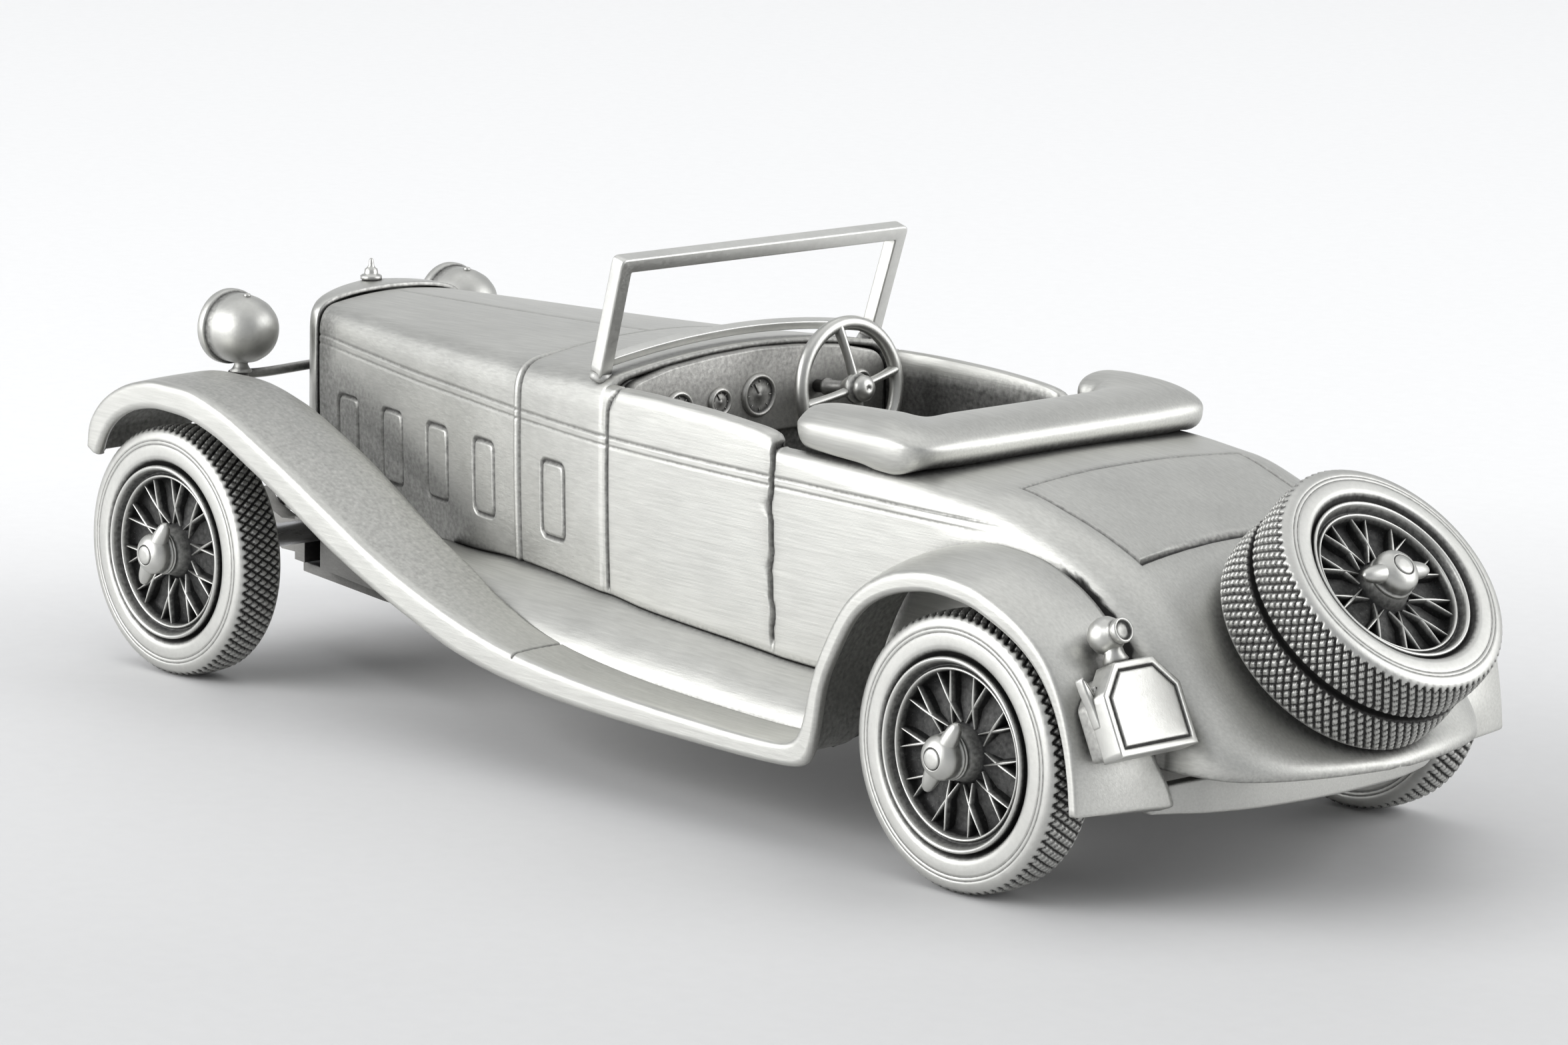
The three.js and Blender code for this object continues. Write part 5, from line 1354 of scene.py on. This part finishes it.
def wheel(part, origin, axis, k=1.0, turn=0.0, depth=0.0):
    """Rim, dished ground, ten crossed pairs of spokes and the hub barrel."""
    o, A = np.asarray(origin, float), np.asarray(axis, float)
    A = A / np.linalg.norm(A)
    prof = [
        (6.27, 1.2, 1.0), (6.27, 1.75, 1.0), (6.28, 1.98, 0.5), (6.24, 2.1, 0.0), (6.16, 2.15, 0.0), (6.06, 2.14, 0.0), (5.98, 2.06, 0.05),
        (5.93, 1.9, 0.5), (5.86, 1.7, 0.85), (5.76, 1.5, 0.9), (5.68, 1.42, 0.9), (5.63, 1.44, 0.6), (5.58, 1.56, 0.15), (5.52, 1.66, 0.0), (5.45, 1.68, 0.0), (5.38, 1.62, 0.1),
        (5.32, 1.4, 0.7), (5.27, 1.05, 1.0), (5.2, 0.72, 1.0), (5.0, 0.55, 1.0), (4.4, 0.5, 0.95), (3.4, 0.56, 0.93), (2.6, 0.68, 0.95), (2.05, 0.85, 1.0),
        (1.9, 0.95, 1.0), (1.8, 1.15, 0.85), (1.7, 1.5, 0.65), (1.6, 1.8, 0.5), (1.54, 1.92, 0.8), (1.52, 2.0, 0.9), (1.58, 2.05, 0.2), (1.58, 2.15, 0.1), (1.5, 2.2, 0.4), (0.9, 2.2, 0.5),
    ]
    pr = np.array(prof)
    part.turned(pr[:, :2] * k, 160, o, A, cav=pr[:, 2], turn=turn)
    # Back of the wheel.
    back = np.array([(6.27, 1.2, 1.0), (6.27, -1.5, 0.8), (6.15, -1.62, 0.3), (5.9, -1.6, 0.3), (5.6, -1.2, 0.7), (5.2, -0.75, 0.8), (3.0, -0.7, 0.7), (2.3, -0.8, 0.6), (2.1, -1.7, 0.4), (1.95, -1.88, 0.2), (1.1, -1.9, 0.3)])
    part.turned(back[:, :2] * k, 96, o, A, cav=back[:, 2], turn=turn)
    U = np.array([0, 0, 1.0]) - A * A[2]
    U /= np.linalg.norm(U)
    W = np.cross(A, U)
    for j in range(10):
        mid = turn + (j + 0.5) * 2 * pi / 10
        for s in (1, -1):
            a0, a1 = mid - s * 0.20, mid + s * 0.115
            r0, r1 = 2.0, 5.36
            p0 = np.array([r0 * math.cos(a0), r0 * math.sin(a0)])
            p1 = np.array([r1 * math.cos(a1), r1 * math.sin(a1)])
            rings, cc = [], []
            for u_ in np.linspace(0, 1, 16):
                q = p0 + (p1 - p0) * u_
                d = (p1 - p0) / np.linalg.norm(p1 - p0)
                nn = np.array([-d[1], d[0]])
                h = 1.06 + 0.26 * math.sin(pi * u_) * (1 if s > 0 else 0.82) + 0.30 * (u_**3)
                w_ = 0.052 + 0.045 * math.sin(pi * u_) ** 2
                ridge = []
                for e, hh, c in ((-2.6, 0.40, 1.0), (-1.6, h - 0.40, 1.0), (-1.0, h - 0.10, 0.6), (-0.5, h, 0.0), (0.5, h, 0.0), (1.0, h - 0.10, 0.6), (1.6, h - 0.40, 1.0), (2.6, 0.40, 1.0)):
                    v = q + nn * w_ * e
                    ridge.append(o + k * (U * v[0] + W * v[1] + A * hh))
                    cc.append(c)
                rings.append(ridge)
            part.grid(np.array(rings), np.array(cc).reshape(16, 8))
    return part


def knock_off(part, origin, axis, k=1.0, angle=0.0):
    """Domed hub nut with two blunt ears and a round cap. The origin is on the axle at the wheel's hub face."""
    o, A = np.asarray(origin, float), np.asarray(axis, float)
    A = A / np.linalg.norm(A)
    prof = np.array([
        (0.9, -0.02, 0.6), (1.42, -0.02, 0.6), (1.5, 0.06, 0.2), (1.52, 0.16, 0.0), (1.5, 0.27, 0.0), (1.42, 0.33, 0.7), (1.39, 0.38, 0.8), (1.41, 0.46, 0.3), (1.45, 0.6, 0.0), (1.47, 0.8, 0.0), (1.44, 1.0, 0.0), (1.37, 1.18, 0.0),
        (1.25, 1.35, 0.0), (1.1, 1.48, 0.0), (0.94, 1.58, 0.0), (0.8, 1.64, 0.0), (0.745, 1.655, 0.2), (0.72, 1.6, 1.0), (0.67, 1.6, 1.0), (0.64, 1.68, 0.15), (0.58, 1.71, 0.0), (0.3, 1.725, 0.0), (0, 1.73, 0.0),
    ])
    part.turned(prof[:, :2] * k, 72, o, A, cav=prof[:, 2])
    U = np.array([0, 0, 1.0]) - A * A[2]
    U /= np.linalg.norm(U)
    W = np.cross(A, U)
    e = U * math.cos(angle) + W * math.sin(angle)
    f = np.cross(A, e)
    for s in (1, -1):
        rings = []
        for u_ in np.linspace(0, 1, 20):
            r = 0.55 + 2.25 * u_
            end = max(0.0, 1 - u_**4.5) ** 0.5
            wd = (0.66 - 0.16 * u_) * end + 0.02
            ht = (0.62 - 0.16 * u_) * end + 0.02
            c = o + k * (e * (s * r) + A * (0.82 - 0.10 * u_))
            q = np.linspace(0, 2 * pi, 20, endpoint=False)
            rings.append(c + k * (np.cos(q)[:, None] * f * wd + np.sin(q)[:, None] * A * ht))
        part.grid(np.array(rings), 0.0, close_v=True, cap0=True, cap1=True)
    return part


WB = 81.0
for end, x in (("front", WB), ("rear", 0.0)):
    bd = end + "_wheelset"
    for side, s in (("left", 1), ("right", -1)):
        o = np.array([x, s * TYRE_Y, TYRE_R])
        A = np.array([0, s, 0.0])
        tn = {"frontleft": 0.2, "frontright": 0.0, "rearleft": -0.02, "rearright": 0.5}[end + side]
        tyre(Part(), o, A, 1.0, tn).make(f"tyre_knurled_{end}_{side}", M_TYRE, bd, "tyres_pewter", [f"tyre_{end}_{side}"])
        wheel(Part(), o, A, 1.0, tn).make(f"wheel_spoked_{end}_{side}", M_SPOKE, bd, "wheels_patina", [f"wire_wheel_{end}_{side}"], recalc=False)
        knock_off(Part(), o + A * 2.1, A, 1.0, -math.radians(30)).make(f"nut_eared_{end}_{side}", M_BRIGHT, bd, "bright_fittings", [f"hub_nut_{end}_{side}"])

# Spare: two tyres on one carrier.
pitch = math.radians(44)
sa = np.array([-math.cos(pitch), 0, math.sin(pitch)])
k = 0.94
face = np.array([-18.4, 0, 21.0])
outer = face - sa * 1.9 * k
inner = face - sa * (3 * 1.9 * k + 0.3)
tyre(Part(), outer, sa, k, 0.03, (-1,)).make("tyre_knurled_spare_outer", M_TYRE, "body", "tyres_pewter", ["spare_tyre_outer"])
tyre(Part(), inner, sa, k, 0.07, (1,)).make("tyre_knurled_spare_inner", M_TYRE, "body", "tyres_pewter", ["spare_tyre_inner"])
wheel(Part(), outer - sa * 0.45, sa, k, 0.12).make("wheel_spoked_spare", M_SPOKE, "body", "wheels_patina", ["spare_wire_wheel"], recalc=False)
knock_off(Part(), outer + sa * (1.95 * k - 0.42) + np.array([0, 0.25, 0]), sa, 1.03, math.radians(86)).make("nut_eared_spare", M_BRIGHT, "body", "bright_fittings", ["spare_hub_nut"])
p = Part()
L_ = 1.9 * k * 4 + 0.2
base = inner - sa * (1.9 * k - 0.2)
prof = np.array([(0, 0, 0.6), (3.1, 0, 0.6), (3.2, 0.1, 0.3), (3.2, 0.6, 0.5), (5.5, 0.75, 0.9), (5.75, 0.95, 0.9), (5.8, 1.2, 0.95), (5.8, 4.9, 1.0), (5.6, 5.0, 1.0), (1.2, 5.0, 1.0), (1.1, 5.1, 1.0), (1.1, 6.4, 1.0), (0, 6.4, 1.0)])
p.turned(prof[:, :2], 96, base, sa, cav=prof[:, 2])
# Two arms from the flange to the tail.
for y in (1.6, -1.6):
    q0 = base + sa * 0.3 + np.array([0, y, 0])
    p.tube([q0, q0 - sa * 0.8 + np.array([0.3, 0, -0.4]), q0 - sa * 1.2 + np.array([0.9, 0, -0.9])], [0.55, 0.55, 0.6], 14)
p.make("carrier_spare", M_DARK_SHADED, "body", "wheels_patina", ["spare_carrier"])

# ------------------------------------------------------------------ floor, backdrop and light
def stage_surface():
    xs = np.linspace(-1.6, 1.6, 5)
    u = Vector((-_b.x, -_b.y, 0)).normalized()  # away from the camera
    v = Vector((-u.y, u.x, 0))
    prof = [(-1.2, 0.0), (-0.4, 0.0), (0.3, 0.0), (0.55, 0.0)]
    for a in np.linspace(0, pi / 2, 14)[1:]:
        prof.append((0.55 + 0.9 * math.sin(a), 0.9 * (1 - math.cos(a))))
    prof.append((1.45, 1.9))
    P = np.array([[tuple(u * d + v * w + Vector((0, 0, h))) for w in xs] for d, h in prof])
    me = bpy.data.meshes.new("studio_sweep")
    nu, nv = P.shape[:2]
    faces = [(i * nv + j, i * nv + j + 1, (i + 1) * nv + j + 1, (i + 1) * nv + j) for i in range(nu - 1) for j in range(nv - 1)]
    me.from_pydata(P.reshape(-1, 3).tolist(), [], faces)
    me.polygons.foreach_set("use_smooth", [True] * len(me.polygons))
    o = bpy.data.objects.new("studio_sweep", me)
    bpy.context.scene.collection.objects.link(o)
    m = bpy.data.materials.new("studio_sweep")
    m.use_nodes = True
    nt = m.node_tree
    bs = nt.nodes["Principled BSDF"]
    bs.inputs["Roughness"].default_value = 0.6
    bs.inputs["Specular IOR Level"].default_value = 0.25
    tc = nt.nodes.new("ShaderNodeTexCoord")
    nz = nt.nodes.new("ShaderNodeTexNoise")
    nz.inputs["Scale"].default_value = 700
    nz.inputs["Detail"].default_value = 3
    nt.links.new(tc.outputs["Object"], nz.inputs["Vector"])
    mr = nt.nodes.new("ShaderNodeMapRange")
    mr.inputs["To Min"].default_value = 0.745
    mr.inputs["To Max"].default_value = 0.78
    nt.links.new(nz.outputs["Fac"], mr.inputs["Value"])
    # Painted light on the paper sweep: paler with distance from the model's near side.
    sep = nt.nodes.new("ShaderNodeVectorMath")
    sep.operation = "DOT_PRODUCT"
    nt.links.new(tc.outputs["Object"], sep.inputs[0])
    sep.inputs[1].default_value = tuple(u)
    floor_painted_light = nt.nodes.new("ShaderNodeMapRange")
    floor_painted_light.inputs["From Min"].default_value = -0.06
    floor_painted_light.inputs["From Max"].default_value = 0.10
    floor_painted_light.inputs["To Min"].default_value = 0.79
    floor_painted_light.inputs["To Max"].default_value = 1.06
    nt.links.new(sep.outputs["Value"], floor_painted_light.inputs["Value"])
    mul = nt.nodes.new("ShaderNodeMath")
    mul.operation = "MULTIPLY"
    nt.links.new(mr.outputs["Result"], mul.inputs[0])
    nt.links.new(floor_painted_light.outputs["Result"], mul.inputs[1])
    nt.links.new(mul.outputs[0], bs.inputs["Base Color"])
    me.materials.append(m)
    return o


stage_surface()


def area(name, at, look, size, power, colour=(1, 1, 1), size_y=None):
    d = bpy.data.lights.new(name, "AREA")
    d.shape = "RECTANGLE"
    d.size = size
    d.size_y = size_y or size
    d.energy = power
    d.color = colour
    o = bpy.data.objects.new(name, d)
    bpy.context.scene.collection.objects.link(o)
    o.location = at
    o.rotation_euler = (Vector(look) - Vector(at)).to_track_quat("-Z", "Y").to_euler()
    return o


# Directions by the camera: R to its right, B towards it.
B_ = Vector((_b.x, _b.y, 0)).normalized()
R_ = Vector((_r0.x, _r0.y, 0)).normalized()


def at(right, back, up_):
    return tuple(R_ * right + B_ * back + Vector((0, 0, up_)))


area("top_soft", at(0.0, 0.0, 0.70), (0, 0, 0.01), 0.9, 1.24, (1.0, 0.99, 0.975), 0.8)
area("side_left", at(-0.58, 0.19, 0.23), (0, 0, 0.02), 0.60, 4.5, (1, 1, 1), 0.50)
area("side_right", at(0.62, 0.06, 0.27), (0, 0, 0.015), 0.56, 3.0, (1, 1, 1), 0.56)
area("backdrop_wash", at(0.0, -0.45, 0.9), at(0, -1.3, 0.3), 1.2, 4.4, (1, 1, 1), 0.6)

world = bpy.data.worlds.new("studio")
bpy.context.scene.world = world
world.use_nodes = True
bg = world.node_tree.nodes["Background"]
bg.inputs[0].default_value = (0.95, 0.97, 1.0, 1)
bg.inputs[1].default_value = 0.52
bpy.context.scene.view_settings.view_transform = "Standard"
bpy.context.scene.view_settings.look = "None"
bpy.context.scene.view_settings.exposure = 0.0
